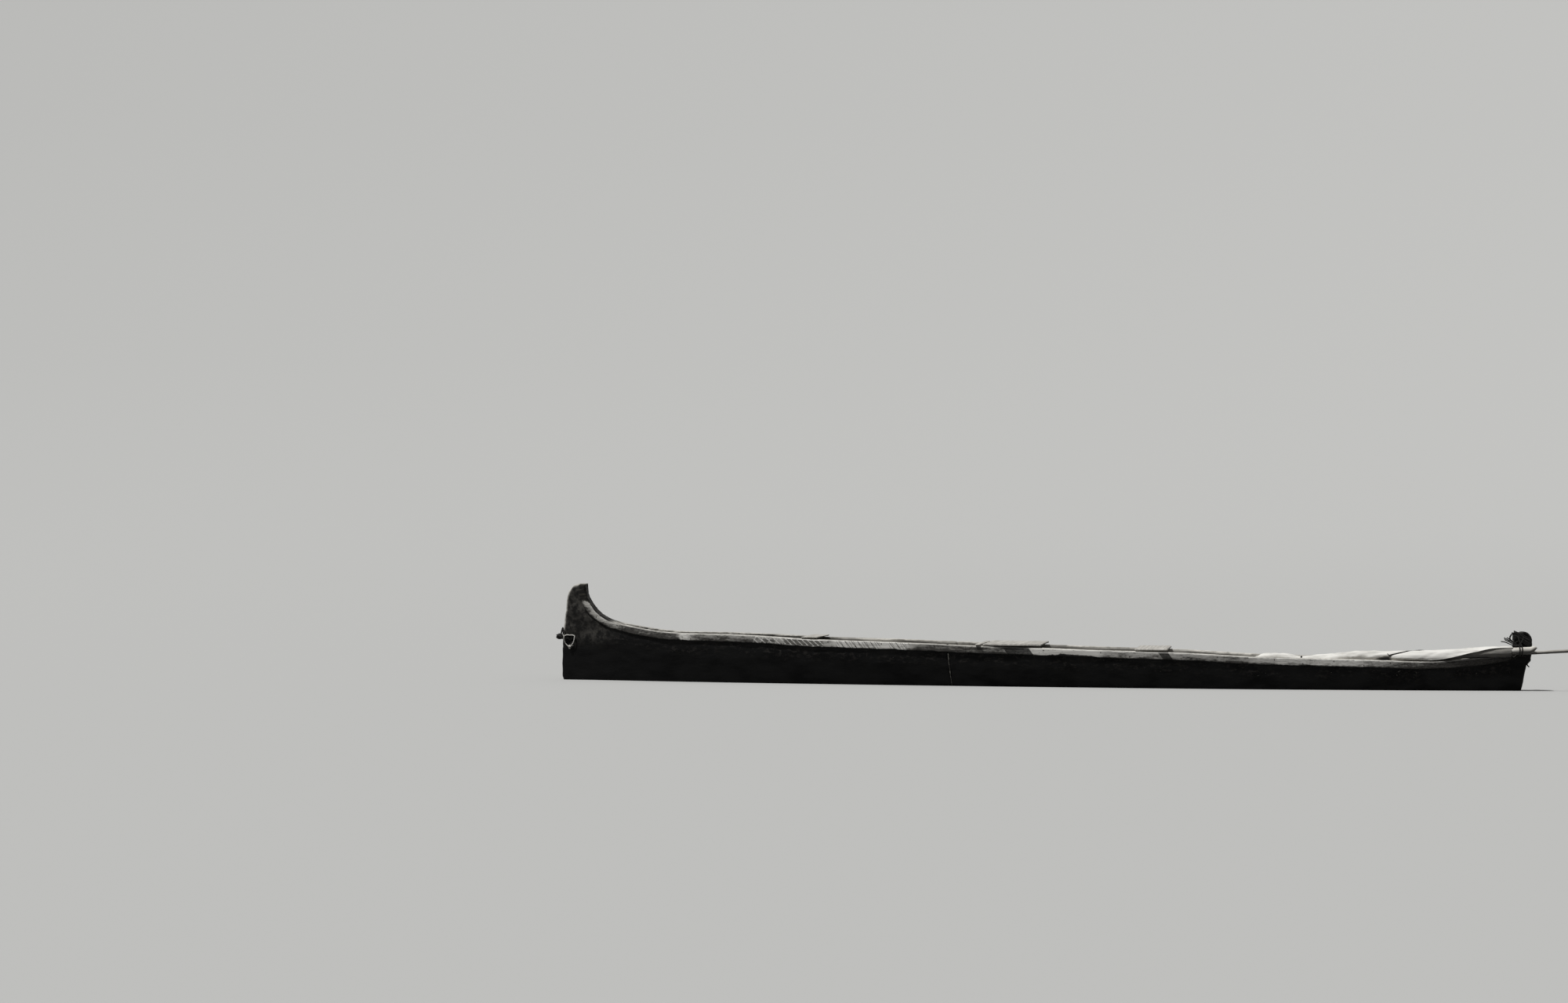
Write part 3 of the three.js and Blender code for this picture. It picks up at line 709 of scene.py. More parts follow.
# Lines that cords and beads follow
def even_route(points, step):
    """A smooth route through the points, with a point every step metres."""
    pts = [Vector(p) for p in points]
    ends = [2 * pts[0] - pts[1], *pts, 2 * pts[-1] - pts[-2]]
    dense = []
    for i in range(1, len(ends) - 2):
        a, b, c, d = ends[i - 1:i + 3]
        for k in range(24):
            u = k / 24
            dense.append(0.5 * (
                2 * b + (c - a) * u + (2 * a - 5 * b + 4 * c - d) * u * u
                + (3 * b - a - 3 * c + d) * u * u * u
            ))
    dense.append(pts[-1])
    route, carried = [dense[0]], 0.0
    for a, b in zip(dense, dense[1:]):
        length = (b - a).length
        while carried + length >= step:
            a = a + (b - a) * ((step - carried) / length)
            length = (b - a).length
            route.append(a.copy())
            carried = 0.0
        carried += length
    if (route[-1] - dense[-1]).length > step * 0.4:
        route.append(dense[-1])
    return route


def bead(name, lines, thick, sides=2, closed=False):
    """Round bars along the lines; each point is a place and how thick the bar is there."""
    curve = bpy.data.curves.new(name, "CURVE")
    curve.dimensions = "3D"
    curve.bevel_depth = thick
    curve.bevel_resolution = sides
    curve.use_fill_caps = True
    for line in lines:
        spline = curve.splines.new("POLY")
        spline.points.add(len(line) - 1)
        spline.use_cyclic_u = closed
        for point, (place, swell) in zip(spline.points, line):
            point.co = (*place, 1)
            point.radius = swell
    take(placed(name, curve))
    bpy.ops.object.convert(target="MESH")
    obj = bpy.context.object
    smooth_shade(obj, 60)
    return obj


def laid_rope(name, points, radius, closed=False):
    """Three strands twisted round the route, a full turn every seven radii."""
    route = even_route([*points, points[0]] if closed else points, radius * 0.75)
    if closed:
        route.pop()
    turns = len(route) * 0.75 / 7
    if closed:
        turns = max(1, round(turns))
    side = Vector((0.31, 0.47, 0.83))
    frames = []
    for i, here in enumerate(route):
        ahead = route[(i + 1) % len(route)] if closed or i + 1 < len(route) else here
        behind = route[i - 1] if closed or i else here
        along = (ahead - behind).normalized()
        side = (side - along * side.dot(along)).normalized()
        frames.append((here, side.copy(), along.cross(side)))
    slip = 0.0
    if closed:
        start_side, start_up = frames[0][1], frames[0][2]
        along = (route[1] - route[-1]).normalized()
        last = (side - along * side.dot(along)).normalized()
        slip = atan2(last.dot(start_up), last.dot(start_side))
    lines = []
    for strand in range(3):
        line = []
        for i, (here, e1, e2) in enumerate(frames):
            share = i / len(frames)
            a = 2 * pi * (turns * share + strand / 3) - slip * share
            out = e1 * cos(a) + e2 * sin(a)
            line.append((here + out * radius * 0.47, 1.0))
        lines.append(line)
    return bead(name, lines, radius * 0.56, sides=1, closed=closed)


# Caulking in the seam, thumbed in: a thin wandering bead with lumps
def seam_route():
    line = []
    middle = Vector((SEAM_AT - SEAM_LEAN * 0.12, 0, 0.12))
    for i in range(121):
        a = radians(24 - 228 * i / 120)
        out = Vector((0, cos(a), sin(a)))
        spot = struck(hull_tree, middle + out, -out)
        if not spot:
            continue
        spot.x = SEAM_AT - SEAM_LEAN * spot.z
        if spot.z > rim_at(spot.x) - 0.056:
            continue
        spot.x += 0.003 * noise.noise(Vector((i * 0.35, 0, 7.0)))
        lump = max(0.0, noise.noise(Vector((i * 0.55, 3.0, 0)))) ** 2 * 5
        line.append((spot, 0.65 + lump))
    return line


settle(bead("seam_caulking", [seam_route()], 0.0023), CAULK)

# Rim strakes, painted on their outer faces
SWEEP = [p for p in RIM if p[0] < -2.6]


def across_strake(co, n):
    """Distance below the rim, measured square to it where it sweeps up the head."""
    if co.x > -2.7:
        return max(0.0, rim_at(co.x) - co.z)
    nearest = 1.0
    for (xa, za), (xb, zb) in zip(SWEEP, SWEEP[1:]):
        dx, dz = xb - xa, zb - za
        u = ((co.x - xa) * dx + (co.z - za) * dz) / (dx * dx + dz * dz)
        u = min(1.0, max(0.0, u))
        nearest = min(nearest, hypot(co.x - xa - u * dx, co.z - za - u * dz))
    return nearest


def bare_of_paint(co, n):
    """1 on a strake's inner face, and up and behind the bow's head."""
    inward = between(0.05, 0.45, -n.y * copysign(1, co.y)) * between(0.6, 0.3, n.z)
    if co.x > -2.9:
        return inward
    up_the_head = between(0.515, 0.56, co.z + (co.x + 3.15) * 0.25)
    behind_head = between(0.3, 0.55, n.x) * between(0.3, 0.36, co.z)
    return max(inward, up_the_head, behind_head)


for node in STRAKES:
    plank = recut(node, "plank" + node.removeprefix("strake"), 0.0045)
    soften(plank, 3)
    weight(plank, "sweep", lambda co, n: between(-2.8, -3.0, co.x) * 0.7)
    soften(plank, 60, "sweep")
    ends = [f(p.co.x for p in plank.data.vertices) for f in (min, max)]
    for p in plank.data.vertices:
        # Butted tight: the ends' worn corners close on the next length
        for end, way in zip(ends, (-1, 1)):
            if abs(end) < 2.95:
                p.co.x += way * 0.0024 * between(0.009, 0.003, abs(p.co.x - end))
    roughen(plank, "CLOUDS", 0.05, 0.0022, stretch=(5, 1, 1), mid=0.6, noise_depth=3)
    weight(plank, "foot", lambda co, n: between(0.03, 0.05, rim_at(co.x) - co.z))
    roughen(plank, "CLOUDS", 0.12, 0.009, stretch=(1, 50, 50), group="foot", direction="Z")
    mark(plank, "below_rim", across_strake)
    mark(plank, "unpainted", bare_of_paint)
    smooth_shade(plank, 60)
    settle(plank, PLANK, node)


# Boards and thwarts, and the block that the mast steps in
def round_ends(cargo):
    """The broad board's ends stand past the strakes only at their middle."""
    for p in cargo.data.vertices:
        bow_out = 1 - ((p.co.x + 0.19) / 0.21) ** 2
        uneven = 0.003 * noise.noise(Vector((p.co.x * 30, 1, 0)))
        full = 0.375 + 0.029 * max(0.0, bow_out) + uneven
        over = abs(p.co.y) - full
        if over > 0:
            p.co.y = copysign(full + over * 0.35, p.co.y)
            p.co.z -= 0.002 * noise.noise(Vector((p.co.x * 20, 4, 0)))


BOARDS = (
    "cargo_board", "fore_board", "narrow_board", "mid_board", "mast_thwart", "middle_seat",
    "stern_seat",
)
for node in BOARDS:
    broad = node == "cargo_board"
    depth = 0.004 if broad else 0.0025
    board = wear(node, node + "_worn", 0.0065, 5, depth, 0.07, (1, 4, 1), mid=1.0)
    if broad:
        round_ends(board)
    smooth_shade(board, 50)
    settle(board, BOARD, node)
step = wear("mast_step", "mast_step_worn", 0.004, 4, 0.0015, 0.06)
smooth_shade(step, 60)
settle(step, BLOCK, "mast_step")

# Spars and paddle
MAST_AT = Vector((3.1, -0.106, 0.264))
MAST_RUN = Vector((1, 0.0843, 0.0594))


def mast_line(x):
    return MAST_AT + MAST_RUN * (x - MAST_AT.x)


def pare_end(mast):
    """The mast's after end is pared to a blunt point."""
    for p in mast.data.vertices:
        share = between(3.198, 3.246, p.co.x)
        middle = mast_line(p.co.x)
        keep = sqrt(max(0.0, 1 - share * share)) * 0.8 + 0.2
        p.co.y = middle.y + (p.co.y - middle.y) * keep
        p.co.z = middle.z + 0.014 * share + (p.co.z - middle.z) * keep


for node, voxel, soft, finish in (("mast", 0.0055, 8, POLE), ("sprit", 0.0045, 4, GREY_POLE)):
    pole = wear(node, node + "_pole", voxel, soft, 0.0022, 0.1, (3, 1, 1))
    smooth_shade(pole, 60)
    if node == "mast":
        pare_end(pole)
    mark(pole, "underside", lambda co, n: between(0.5, -0.4, n.z))
    settle(pole, finish, node)
paddle = wear("paddle", "paddle_carved", 0.005, 8, 0.001, 0.05)
smooth_shade(paddle, 60)
settle(paddle, POLE, "paddle")

# Furled sail: one cloth rolled round both spars, its free edge up on the port side.
# The roll's radius by station, in millimetres
FURL = [
    (1.380, 52), (1.410, 68), (1.467, 80), (1.550, 79), (1.615, 69), (1.665, 52), (1.690, 40),
    (1.706, 39), (1.724, 46), (1.808, 53), (1.937, 59), (2.065, 62), (2.180, 59), (2.240, 49),
    (2.275, 45), (2.348, 47), (2.476, 42), (2.629, 40), (2.782, 39), (2.935, 40), (3.030, 38),
    (3.084, 34),
]
FLAT = (1.7, 2.2)
TURNS = 8
# The cloth's grid: points round the roll, and stations along it
ROUNDS = TURNS * 36
STEPS = 240


def furl_radius(x):
    for (xa, ra), (xb, rb) in zip(FURL, FURL[1:]):
        if x <= xb:
            return (ra + (rb - ra) * between(xa, xb, x)) / 1000
    return FURL[-1][1] / 1000


def roll_middle(x):
    return mast_line(x) + Vector((0, 0.008, -0.012))


def on_roll(x, radius, a):
    """A place on the roll, by angle from starboard over the top; its belly is drawn up aft."""
    belly = 0.013 * between(2.55, 2.95, x) * max(0.0, -sin(a))
    wide, tall = radius + 0.009, radius + 0.012 - belly
    return roll_middle(x) + Vector((0, wide * cos(a), tall * sin(a)))


def spars_reach(a):
    """How far the two spars reach from the roll's middle in that direction."""
    best = 0.0
    for cy, cz, r in ((-0.008, 0.012, 0.0265), (0.026, -0.0055, 0.0135)):
        b = cy * cos(a) + cz * sin(a)
        room = r * r - (cy * cy + cz * cz - b * b)
        if room > 0 and b + sqrt(room) > best:
            best = b + sqrt(room)
    return best


def on_ring(values, a):
    """Reads values spaced evenly round a circle at any angle."""
    i = (a / (2 * pi) * len(values)) % len(values)
    low = int(i)
    here = values[low % len(values)]
    return here + (values[(low + 1) % len(values)] - here) * (i - low)


# The reach every 5 degrees, its hollows between the spars bridged
REACH = [spars_reach(i * pi / 36) for i in range(72)]
REACH = [max(REACH[i], (REACH[i - 1] + REACH[(i + 1) % 72]) / 2) + 0.0008 for i in range(72)]


def free_edge_angle(x):
    """Where the cloth ends: low on the port side amidships, up on top at the after end."""
    return radians(228 - 30 * between(1.9, 2.5, x) - 70 * between(2.55, 3.07, x))


# Where each tie pinches the roll and how far it is felt, and the slanting cord's run
TIES = [(1.703, 0.06), (2.26, 0.08)]
CROSS_START = 2.219
CROSS_RUN = 0.33


def cross_angle(x):
    """Angle at which the slanting cord lies on the roll at a station."""
    return (0.93 - 0.63 * (x - CROSS_START) / CROSS_RUN) * pi


def fold_depth(x, a):
    """Creases run along the roll and gather at the ties; they only go inward."""
    wave = Vector((x * 3.6 + a * 0.7, cos(a) * 1.7, sin(a) * 1.7))
    crease = 1 - abs(noise.noise(wave)) * 2.2
    small = 1 - abs(noise.noise(wave * 2.9 + Vector((9, 2, 5)))) * 2.0
    fullness = min(1.0, max(0.25, (furl_radius(x) - 0.028) / 0.026))
    depth = (0.013 * max(0.0, crease) ** 3 + 0.006 * max(0.0, small) ** 2) * fullness
    for at, reach in TIES:
        near = exp(-abs(x - at) / reach)
        depth += 0.0045 * near * (0.5 + 0.5 * cos(a * 9 + x * 20)) * fullness
    if 2.18 < x < 2.60:
        away = abs(a - cross_angle(x)) * 0.052
        depth += 0.004 * exp(-((away / 0.011) ** 2))
    # Abaft the crossing cord the folds slant down and aft from it
    slant = (x - 2.33) * 21 + (a - 2.2) * 2.6
    near = exp(-max(0.0, x - 2.36) / 0.22) * between(2.29, 2.36, x)
    depth += 0.0065 * max(0.0, cos(slant)) ** 5 * near
    depth += 0.013 * tucked_in(x, a)
    return depth


def tucked_in(x, a):
    """The hollow beside the crossing cord, where the cloth is pulled in under itself."""
    top = 2.92 - 0.34 * between(2.180, 2.262, x)
    across = between(2.165, 2.215, x) * between(2.304, 2.272, x)
    return across * between(top - 0.08, top + 0.2, a) * between(4.4, 3.8, a)


def cloth_shade(x, t, end_angle):
    """How much painted shade the cloth takes: low down, on the turn under the free edge, and most
    in the hollow beside the crossing cord.
    """
    a = t % (2 * pi)
    low = between(2.85, 3.75, a) * between(5.6, 4.9, a)
    under = 0.8 if end_angle - t > 4.0 else 0.0
    return max(2 * tucked_in(x, a), between(2.35, 2.75, x) * max(low, under))


def roll_limit(x, a):
    """How far the outermost layer may stand from the roll's middle, off the log and strakes."""
    middle = roll_middle(x)
    ray = on_roll(x, furl_radius(x), a) - middle
    way, length = ray.normalized(), ray.length
    hit = edge_tree.ray_cast(middle, way, length + 0.01)
    if hit[0]:
        length = min(length, hit[3] - 0.002)
    return length, way


def eased(limits, i, k):
    """The least of the lengths round a place, averaged, so that the cloth never steps."""
    near = limits[max(0, i - 4):i + 5]
    return sum(min(row[m % 36][0] for m in (k - 1, k, k + 1)) for row in near) / len(near)


def end_slip(x, t, end_angle):
    """The turns don't end in line: each slips a little, and the last one's corner stands out."""
    aft = between(2.97, 3.084, x)
    fore = between(1.47, 1.38, x)
    uneven = 0.5 + 0.5 * noise.noise(Vector((t * 0.55, 5, 0)))
    back = (end_angle - t) / (2 * pi)
    corner = max(0.0, 1 - back / 0.16)
    return aft * (0.003 * corner - 0.012 * uneven * (1 - corner)) + fore * 0.03 * uneven


def turns_at(x, limits):
    """The cloth's line at a station, from the spars outward: each place with its share of painted
    shade.
    """
    lengths, ways = zip(*limits)
    folds = [fold_depth(x, radians(5 * k)) for k in range(72)]
    end_angle = (TURNS - 1) * 2 * pi + free_edge_angle(x)
    # Towards the stern the last turn is slack and its edge stands off like a lip
    slack = 0.24 + 0.26 * between(2.4, 2.75, x)
    lift = 0.003 + 0.009 * between(2.45, 2.8, x) * between(3.09, 3.03, x)
    for j in range(ROUNDS + 1):
        t = end_angle * j / ROUNDS
        length = on_ring(lengths, t)
        way = on_ring(ways, t).normalized()
        core = on_ring(REACH, atan2(way.z, way.y))
        back = (end_angle - t) / (2 * pi)
        laid = 1 - slack * between(0.0, 1.0, back)
        laid -= (1 - slack) * max(0.0, back - 1) / (TURNS - 1)
        room = max(0.004, length - core - on_ring(folds, t))
        flap = lift * exp(-back * 14) * between(0.002, 0.016, length - core)
        place = roll_middle(x) + way * (core + room * max(0.0, laid) + flap)
        place.x = x + end_slip(x, t, end_angle)
        yield place, cloth_shade(x, t, end_angle)


def rolled_cloth():
    first, last = FURL[0][0], FURL[-1][0]
    stations = [first + (last - first) * i / STEPS for i in range(STEPS + 1)]
    limits = [[roll_limit(x, radians(10 * k)) for k in range(36)] for x in stations]
    bm = bmesh.new()
    cloth = bm.loops.layers.uv.new("cloth")
    painted_shade_share = bm.verts.layers.float.new("painted_shade_share")
    rows = []
    for i, x in enumerate(stations):
        smoothed = [(eased(limits, i, k), limits[i][k][1]) for k in range(36)]
        rows.append([])
        for place, shade_share in turns_at(x, smoothed):
            rows[-1].append(bm.verts.new(place))
            rows[-1][-1][painted_shade_share] = shade_share
    for i in range(STEPS):
        for j in range(ROUNDS):
            corners = ((i, j), (i, j + 1), (i + 1, j + 1), (i + 1, j))
            face = bm.faces.new([rows[u][v] for u, v in corners])
            for loop, (u, v) in zip(face.loops, corners):
                loop[cloth].uv = (u / STEPS * FLAT[0], v / ROUNDS * FLAT[1])
            face.smooth = True
    hem_line = [(row[-1].co.copy(), 1.0) for row in rows]
    return from_bmesh(bm, "furled_cloth"), bead("sail_hem", [hem_line], 0.0016, sides=1)


cloth, hem = rolled_cloth()
settle(cloth, CANVAS, "furled_sail")
settle(hem, CANVAS)
cloth_tree = BVHTree.FromPolygons(
    [p.co.copy() for p in cloth.data.vertices], [list(f.vertices) for f in cloth.data.polygons],
)


# Ropes of the rig
def mm(*points):
    """Points given in millimetres."""
    return [Vector([v / 1000 for v in p]) for p in points]


def ropes(name, *lines):
    """Ropes joined in one piece; each line is its points and its radius."""
    return join([laid_rope(name, points, radius) for points, radius in lines], name)


def on_cloth(x, a, bedded):
    """A place on the cloth, for a cord that is bedded a little in it."""
    away = on_roll(x, 0.15, a)
    inward = (roll_middle(x) - away).normalized()
    return struck(cloth_tree, away, inward) - inward * bedded


crossing = []
for i in range(15):
    x = CROSS_START + CROSS_RUN * (0.19 + 0.81 * i / 14)
    crossing.append(on_cloth(x, cross_angle(x), 0.0022))
second_end = [
    on_cloth(x, radians(degrees), 0.0018)
    for x, degrees in ((2.268, 132), (2.272, 138), (2.278, 145), (2.286, 152))
]
after_tie = ropes("sail_tie_aft_laid", (crossing, 0.0042), (second_end, 0.0024))
settle(after_tie, TARRED_ROPE, "sail_tie_aft")
# Two turns and a bit round the roll's pinched waist, and the end that hangs from them
waist = [on_roll(1.6975 + 0.00026 * i, 0.0378, pi * (0.95 + i / 10)) for i in range(45)]
tail = [waist[-1] + p for p in mm((0, 0, 0), (4, -7, -8), (12, -10, -26), (15, -8, -50))]
fore_tie = ropes("sail_tie_fore_laid", (waist, 0.0036), (tail, 0.0034))
settle(fore_tie, TARRED_ROPE, "sail_tie_fore")

MAST_RADIUS = 0.0248
SPRIT_RADIUS = 0.0125
SPRIT_OFF = Vector((0, 0.034, -0.0175))


def lashing_turn(x, radius):
    """One turn drawn tight round the mast and the sprit beside it."""
    line = []
    for i in range(40):
        a = 2 * pi * i / 40 + 0.2
        out = Vector((0, cos(a), sin(a)))
        middle, r = mast_line(x + radius * i / 40), MAST_RADIUS
        if SPRIT_OFF.dot(out) + SPRIT_RADIUS > MAST_RADIUS:
            middle, r = middle + SPRIT_OFF, SPRIT_RADIUS
        line.append(middle + out * (r + radius + 0.0005))
    return line


for node, x in (("spar_lashing_fore", 3.131), ("spar_lashing_aft", 3.147)):
    turns = laid_rope(node + "_laid", lashing_turn(x, 0.004), 0.004)
    settle(turns, TARRED_ROPE, node)


# Tarred rope wound on the stern head, aslant and low aft, with a hank hung over its shoulder
TILT = 0.0228
SUNK = 0.0026


def round_head(level):
    """One turn laid round the stern head, sunk in the groove that it has worn."""
    line = []
    for i in range(28):
        a = 2.4 + 2 * pi * i / 28
        out = Vector((cos(a), sin(a), 0))
        middle = HEAD + Vector((0, 0, level - TILT * cos(a)))
        skin = struck(hull_tree, middle + out * 0.3, -out)
        reach = (skin.xy - HEAD.xy).length if skin else 0.055
        line.append(middle + out * (reach - SUNK))
    return line


winding = []
for k in range(7):
    winding += round_head(0.371 - 0.0089 * k)
bight = []
for i in range(44):
    a = pi * 0.35 + 2 * pi * i / 18
    wide = 0.029 * (1 + 0.10 * sin(i * 1.1))
    y = -0.066 - 0.017 * i / 43
    bight.append(Vector((3.101 + wide * cos(a), y, 0.352 + 0.032 * sin(a))))
HANK = {
    "arc": [
        (3084, -70, 386), (3097, -78, 374), (3110, -82, 363), (3126, -80, 358), (3142, -75, 348),
        (3168, -68, 330), (3196, -62, 316), (3216, -44, 308),
    ],
    "across": [
        (3112, -66, 390), (3128, -70, 381), (3146, -71, 366), (3170, -68, 350), (3194, -63, 338),
        (3214, -46, 330),
    ],
    "shoulder one": [
        (3158, -36, 385.5), (3176, -36, 382.5), (3192, -34, 371), (3203, -32, 354),
        (3210, -32, 336),
    ],
    "shoulder two": [
        (3136, -20, 388.5), (3160, -18, 388.5), (3182, -16, 383.5), (3199, -16, 370),
        (3210, -18, 352), (3214.5, -20, 334),
    ],
    "shoulder three": [
        (3150, 8, 388.5), (3172, 10, 386.5), (3191, 10, 377), (3205, 8, 361), (3212.5, 6, 342),
    ],
    "upper end": [
        (3036, -70, 353), (3038, -74, 342), (3046, -80, 334), (3062, -86, 328), (3086, -92, 315),
        (3107, -97, 303), (3118, -104, 299),
    ],
    "middle end": [
        (3044, -64, 346), (3056, -72, 339), (3076, -79, 330), (3098, -86, 316), (3118, -90, 304),
        (3134, -86, 300), (3150, -76, 304),
    ],
    "short end": [
        (3052, -68, 352), (3060, -76, 347.5), (3074, -82, 339), (3094, -87, 324), (3112, -91, 309),
        (3124, -94, 301),
    ],
    "inner end": [
        (3040, -60, 336), (3052, -70, 331), (3072, -80, 321), (3094, -88, 309), (3112, -94, 300),
    ],
    "lower end": [
        (3012, -80, 326), (3026, -84, 325.5), (3042, -90, 322), (3068, -99, 311),
        (3096, -108, 300), (3112, -113, 297.5),
    ],
    "cross one": [
        (3122, -76, 368), (3126, -86, 350), (3131, -91, 330), (3139, -96, 314), (3143, -104, 302),
        (3142.5, -116, 296.5),
    ],
    "cross two": [
        (3160, -68, 358), (3153, -80, 338), (3143, -92, 322), (3131, -99, 309),
        (3127.5, -108, 300), (3127.5, -118, 295.5),
    ],
}
strands = [(winding, 0.0042), (bight, 0.0044)]
for name, line in HANK.items():
    strands.append((mm(*line), 0.0039 if "end" in name else 0.0044))
settle(ropes("stern_rope_laid", *strands), TARRED_ROPE, "stern_rope")
STUB = mm(
    (3206, -34, 216), (3204, -30, 200), (3191, -26, 185), (3186, -24, 174), (3191, -22, 166),
    (3199, -20, 158),
)
settle(laid_rope("stern_rope_end", STUB, 0.0044), TARRED_ROPE)

# Light end of the lashing on the stern's side, and a small grommet hung under the mast
TAIL = (
    (3.102, 0.212), (3.110, 0.217), (3.119, 0.225), (3.132, 0.230), (3.148, 0.2305),
    (3.164, 0.229), (3.178, 0.225),
)
tail = [Vector((x, -half_breadth(x, z) - 0.0030, z)) for x, z in TAIL]
grommet = []
for i in range(26):
    a = 2 * pi * i / 16
    r = 0.0112 + 0.0025 * noise.noise(Vector((i * 0.31, 6, 0)))
    z = 0.2385 + r * sin(a)
    grommet.append(Vector((3.094 + 1.1 * r * cos(a), -0.1265 - 0.0002 * i, z)))
light_end = ropes("lashing_tail", (tail, 0.0030), (grommet, 0.0024))
settle(light_end, FRAYED_CORD)

# Bow: the cord through the painter hole, its knot, its hanging end
ring = []
for i in range(24):
    a = 2 * pi * i / 24 + 0.19
    c, s = (copysign(sqrt(abs(v)), v) for v in (cos(a), sin(a)))
    ring.append(Vector((-3.3 + 0.0294 * c, 0.036 * s, 0.284 + 0.003 * c)))
settle(laid_rope("bow_cord_laid", ring, 0.0038, closed=True), TARRED_ROPE, "bow_cord")


def fitted(spot, centre, size):
    """A place given in shares of a knot's size, put where the knot is."""
    return Vector(centre) + Vector([a * b for a, b in zip(spot, size)])


def fist_knot(centre, size, thick):
    """A round stopper knot: one line passed over and under itself."""
    line = []
    for i in range(60):
        t = 2 * pi * i / 60
        r = 0.62 + 0.3 * cos(4 * t)
        spot = (sin(4 * t) * 0.9, r * cos(3 * t), r * sin(3 * t))
        line.append(fitted(spot, centre, size))
    return laid_rope("fist_knot", line, thick, closed=True)


def knot_core(centre, size):
    """What the crossings of a knot close round: a lumpy heart of rope."""
    bpy.ops.mesh.primitive_ico_sphere_add(subdivisions=3, radius=1.0, location=(0, 0, 0))
    core = bpy.context.object
    for p in core.data.vertices:
        p.co = fitted(p.co * (1 + 0.12 * noise.noise(p.co * 2.5)), centre, size)
    smooth_shade(core, 60)
    return core


KNOT_AT = (-3.3475, 0, 0.296)
HOLE_AT = Vector((-3.268, 0, 0.276))
knot = fist_knot(KNOT_AT, (0.0232, 0.0165, 0.0172), 0.0052)
core = knot_core(KNOT_AT, (0.0225, 0.0125, 0.0155))
neck = laid_rope("neck", mm(
    (-3342.5, -2, 300), (-3338.5, -5, 314), (-3334.5, -8, 328), (-3330.5, -12, 342),
    (-3326.5, -18, 353), (-3322.2, -26, 355), (-3319, -33, 344), (-3317.5, -36, 326),
    (-3315.5, -38, 306), (-3306, -39, 288),
), 0.0056)
# The wad and plug close the painter hole with dark rope: partly the cord's turns through it, and
# partly a dark filler that stands for the shade inside the hole
wad = []
for i in range(50):
    a = i / 50 * 2 * pi * 3.4
    r = 0.0105 + 0.001 * sin(i)
    wad.append(HOLE_AT + Vector((r * cos(a), -0.022 + 0.044 * i / 50, r * sin(a))))
wad = laid_rope("wad", wad, 0.0058)
plug = knot_core(HOLE_AT, (0.0095, 0.030, 0.0095))
settle(join([knot, core, neck, wad, plug], "bow_knot_tied"), TARRED_ROPE, "bow_knot")
LOOP = mm(
    (-3248, 2, 264), (-3247, -18, 265), (-3243, -34, 271), (-3238, -43, 285), (-3237, -46, 299),
    (-3250, -44, 306), (-3272, -40, 306), (-3294, -38, 307), (-3308, -40, 300),
    (-3312, -43.4, 284), (-3309, -39, 262), (-3299, -35, 245), (-3287, -35, 234),
    (-3273, -38, 229), (-3259, -41, 236), (-3251, -43, 249),
)
loop = laid_rope("bow_loop_laid", LOOP, 0.0036)
settle(loop, GREY_CORD, "bow_loop")
path = even_route(LOOP, 0.004)


def tuft(at, down, count, long):
    """The frayed end of a rope: loose yarns that spread."""
    yarns = []
    at = Vector(at)
    for i in range(count):
        a = i * 2.4
        spread = Vector((cos(a), sin(a) * 0.6, 0)) * 0.004 * (0.3 + (i * 7 % 10) / 10)
        reach = long * (0.7 + 0.3 * ((i * 3) % 7) / 7)
        tip = at + Vector(down) * reach + spread * 1.8
        bend = at.lerp(tip, 0.5) + spread * 0.4
        yarns.append([(at + spread * 0.3, 1.0), (bend, 0.9), (tip, 0.5)])
    return bead("tuft", yarns, 0.0009, sides=0)


# The loop is closed low down by a small knot, whose end is frayed
low_knot = fist_knot((-3.271, -0.041, 0.228), (0.009, 0.007, 0.009), 0.0032)
BACK = mm(
    (-3236, -47, 300), (-3237, -50, 284), (-3241, -51, 266), (-3249, -50, 248), (-3260, -46, 235),
    (-3270, -43, 228),
)
HITCH = mm(
    (-3311, -43, 284), (-3313.5, -43, 298), (-3317, -39, 311), (-3321, -30, 320),
)
end_tuft = tuft((-3.271, -0.044, 0.221), (0.2, -0.05, -1), 12, 0.010)
side_tuft = tuft((-3.258, -0.046, 0.233), (1, -0.05, 0.1), 8, 0.014)
hitch, back = laid_rope("hitch", HITCH, 0.0037), laid_rope("return", BACK, 0.0033)
loop_tie = join([low_knot, end_tuft, side_tuft, hitch, back], "bow_loop_tie")
settle(loop_tie, GREY_CORD)
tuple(LOOP[0])
sum((b - a).length for a, b in zip(path, path[1:]))


# Forged nails through the strakes
def nail_places():
    places = []
    for side in (-1, 1):
        x, k = -3.08, 0
        while x < 3.0:
            start = Vector((x, side * 0.8, rim_at(x) - (0.016 if k % 2 else 0.038)))
            spot, normal, *_ = edge_tree.ray_cast(start, Vector((0, -side, 0)))
            if spot:
                places.append((spot, normal))
            x += 0.19 + 0.05 * noise.noise(Vector((k, side, 0.5)))
            k += 1
    return places


bpy.ops.mesh.primitive_uv_sphere_add(segments=10, ring_count=6, radius=0.0034)
nail = bpy.context.object
bpy.ops.object.mode_set(mode="EDIT")
bpy.ops.transform.resize(value=(1, 1, 0.35))
bpy.ops.object.mode_set(mode="OBJECT")
heads = []
for spot, normal in nail_places():
    heads.append(placed("nail", nail.data.copy()))
    turn = normal.to_track_quat("Z", "Y").to_matrix().to_4x4()
    heads[-1].data.transform(Matrix.Translation(spot + normal * 0.0004) @ turn)
bpy.data.objects.remove(nail)
nails = join(heads, "strake_nails")
smooth_shade(nails, 60)
settle(nails, IRON)


# Floor at the water's level, open where the log stands in it, a little inside its skin
FLOOR_LAP = 0.008


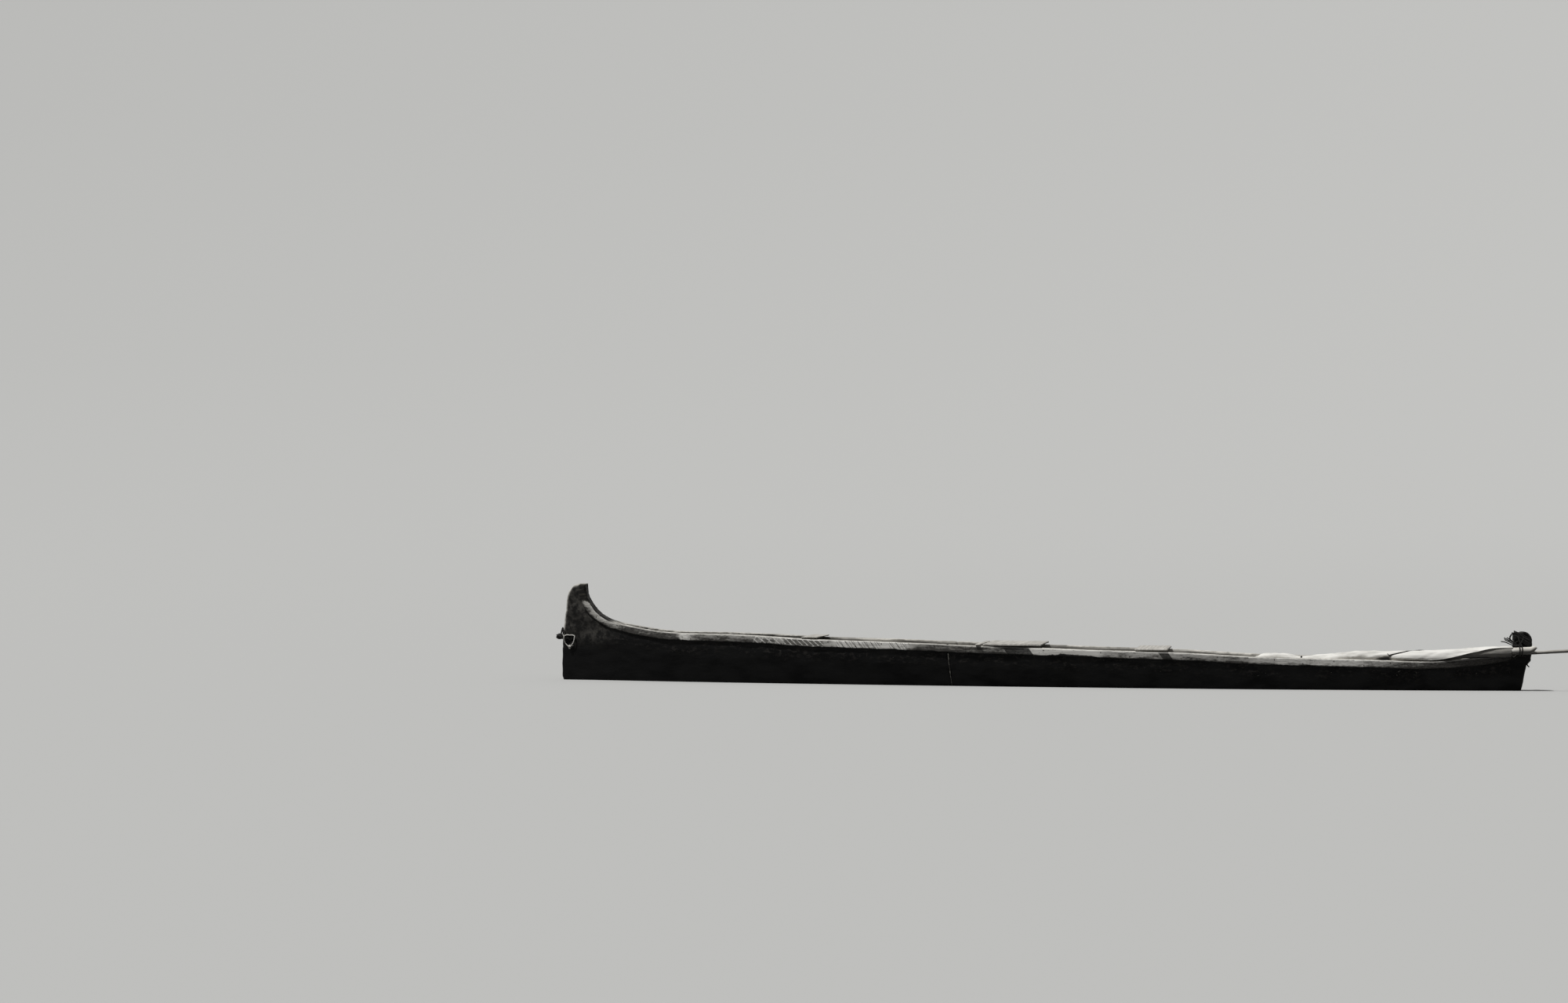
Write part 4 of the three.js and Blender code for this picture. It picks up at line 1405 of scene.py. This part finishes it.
def water_outline():
    half = []
    for i in range(161):
        x = -3.3 + 6.43 * i / 160
        reach = half_breadth(x, 0.0)
        if reach > 0.004:
            half.append((x, reach))
    nose = struck(hull_tree, (-4, 0.0005, 0), (1, 0, 0)).x
    tail_end = struck(hull_tree, (4, 0.0005, 0), (-1, 0, 0)).x
    port = [(x, -max(0.002, y - FLOOR_LAP)) for x, y in half]
    starboard = [(x, -y) for x, y in reversed(port)]
    return [(nose + FLOOR_LAP, 0.0), *port, (tail_end - FLOOR_LAP, 0.0), *starboard]


# The floor runs level to 42 m and then sweeps up all round, one plain pale studio
FAR = [(42, 0), (52, 1.2), (64, 5), (80, 12.5), (104, 26), (140, 48)]


def studio_floor():
    bm = bmesh.new()
    opening = [bm.verts.new((x, y, 0)) for x, y in water_outline()]
    circles = []
    for reach, high in FAR:
        circle = []
        for i in range(72):
            a = radians(5 * i)
            circle.append(bm.verts.new((reach * cos(a), reach * sin(a), high)))
        circles.append(circle)
    edges = []
    for line in (opening, circles[0]):
        edges += [bm.edges.new((line[i - 1], line[i])) for i in range(len(line))]
    bmesh.ops.triangle_fill(bm, use_beauty=True, use_dissolve=False, edges=edges)
    for low, high in zip(circles, circles[1:]):
        for i in range(72):
            bm.faces.new((low[i - 1], low[i], high[i], high[i - 1]))
    bmesh.ops.recalc_face_normals(bm, faces=bm.faces)
    if max(bm.faces, key=lambda f: f.calc_area()).normal.z < 0:
        bmesh.ops.reverse_faces(bm, faces=bm.faces)
    for face in bm.faces:
        face.smooth = True
    return from_bmesh(bm, "floor")


floor = studio_floor()
pale = {"Base Color": paint_value("b4b4b2")}
floor.data.materials.append(new_finish("pale_studio_floor", 0.95, 0.05, pale)[0])
# The floor throws no light back up, as if black cloths lay round the boat out of view
floor.visible_diffuse = False

# Soft light from high up on the bow side, with a pale surround that is darker low down
sun = placed("sun", bpy.data.lights.new("sun", "SUN"))
sun.data.energy = 3.05
sun.data.angle = radians(4)
sun.rotation_euler = Vector((0.37, 0.29, -0.88)).to_track_quat("-Z", "Y").to_euler()
world = bpy.data.worlds.new("world")
world.use_nodes = True
sky = world.node_tree
height = lay(sky, "SeparateXYZ", feeds={"Vector": lay(sky, "TexCoord").outputs["Generated"]})
glow = band(height.outputs["Z"], -0.3, 0.5, 0.06, 0.32)
sky.links.new(glow, sky.nodes["Background"].inputs["Strength"])
sky.nodes["Background"].inputs["Color"].default_value = (0.95, 0.95, 0.95, 1)
scene.world = world
scene.view_settings.view_transform = "Standard"
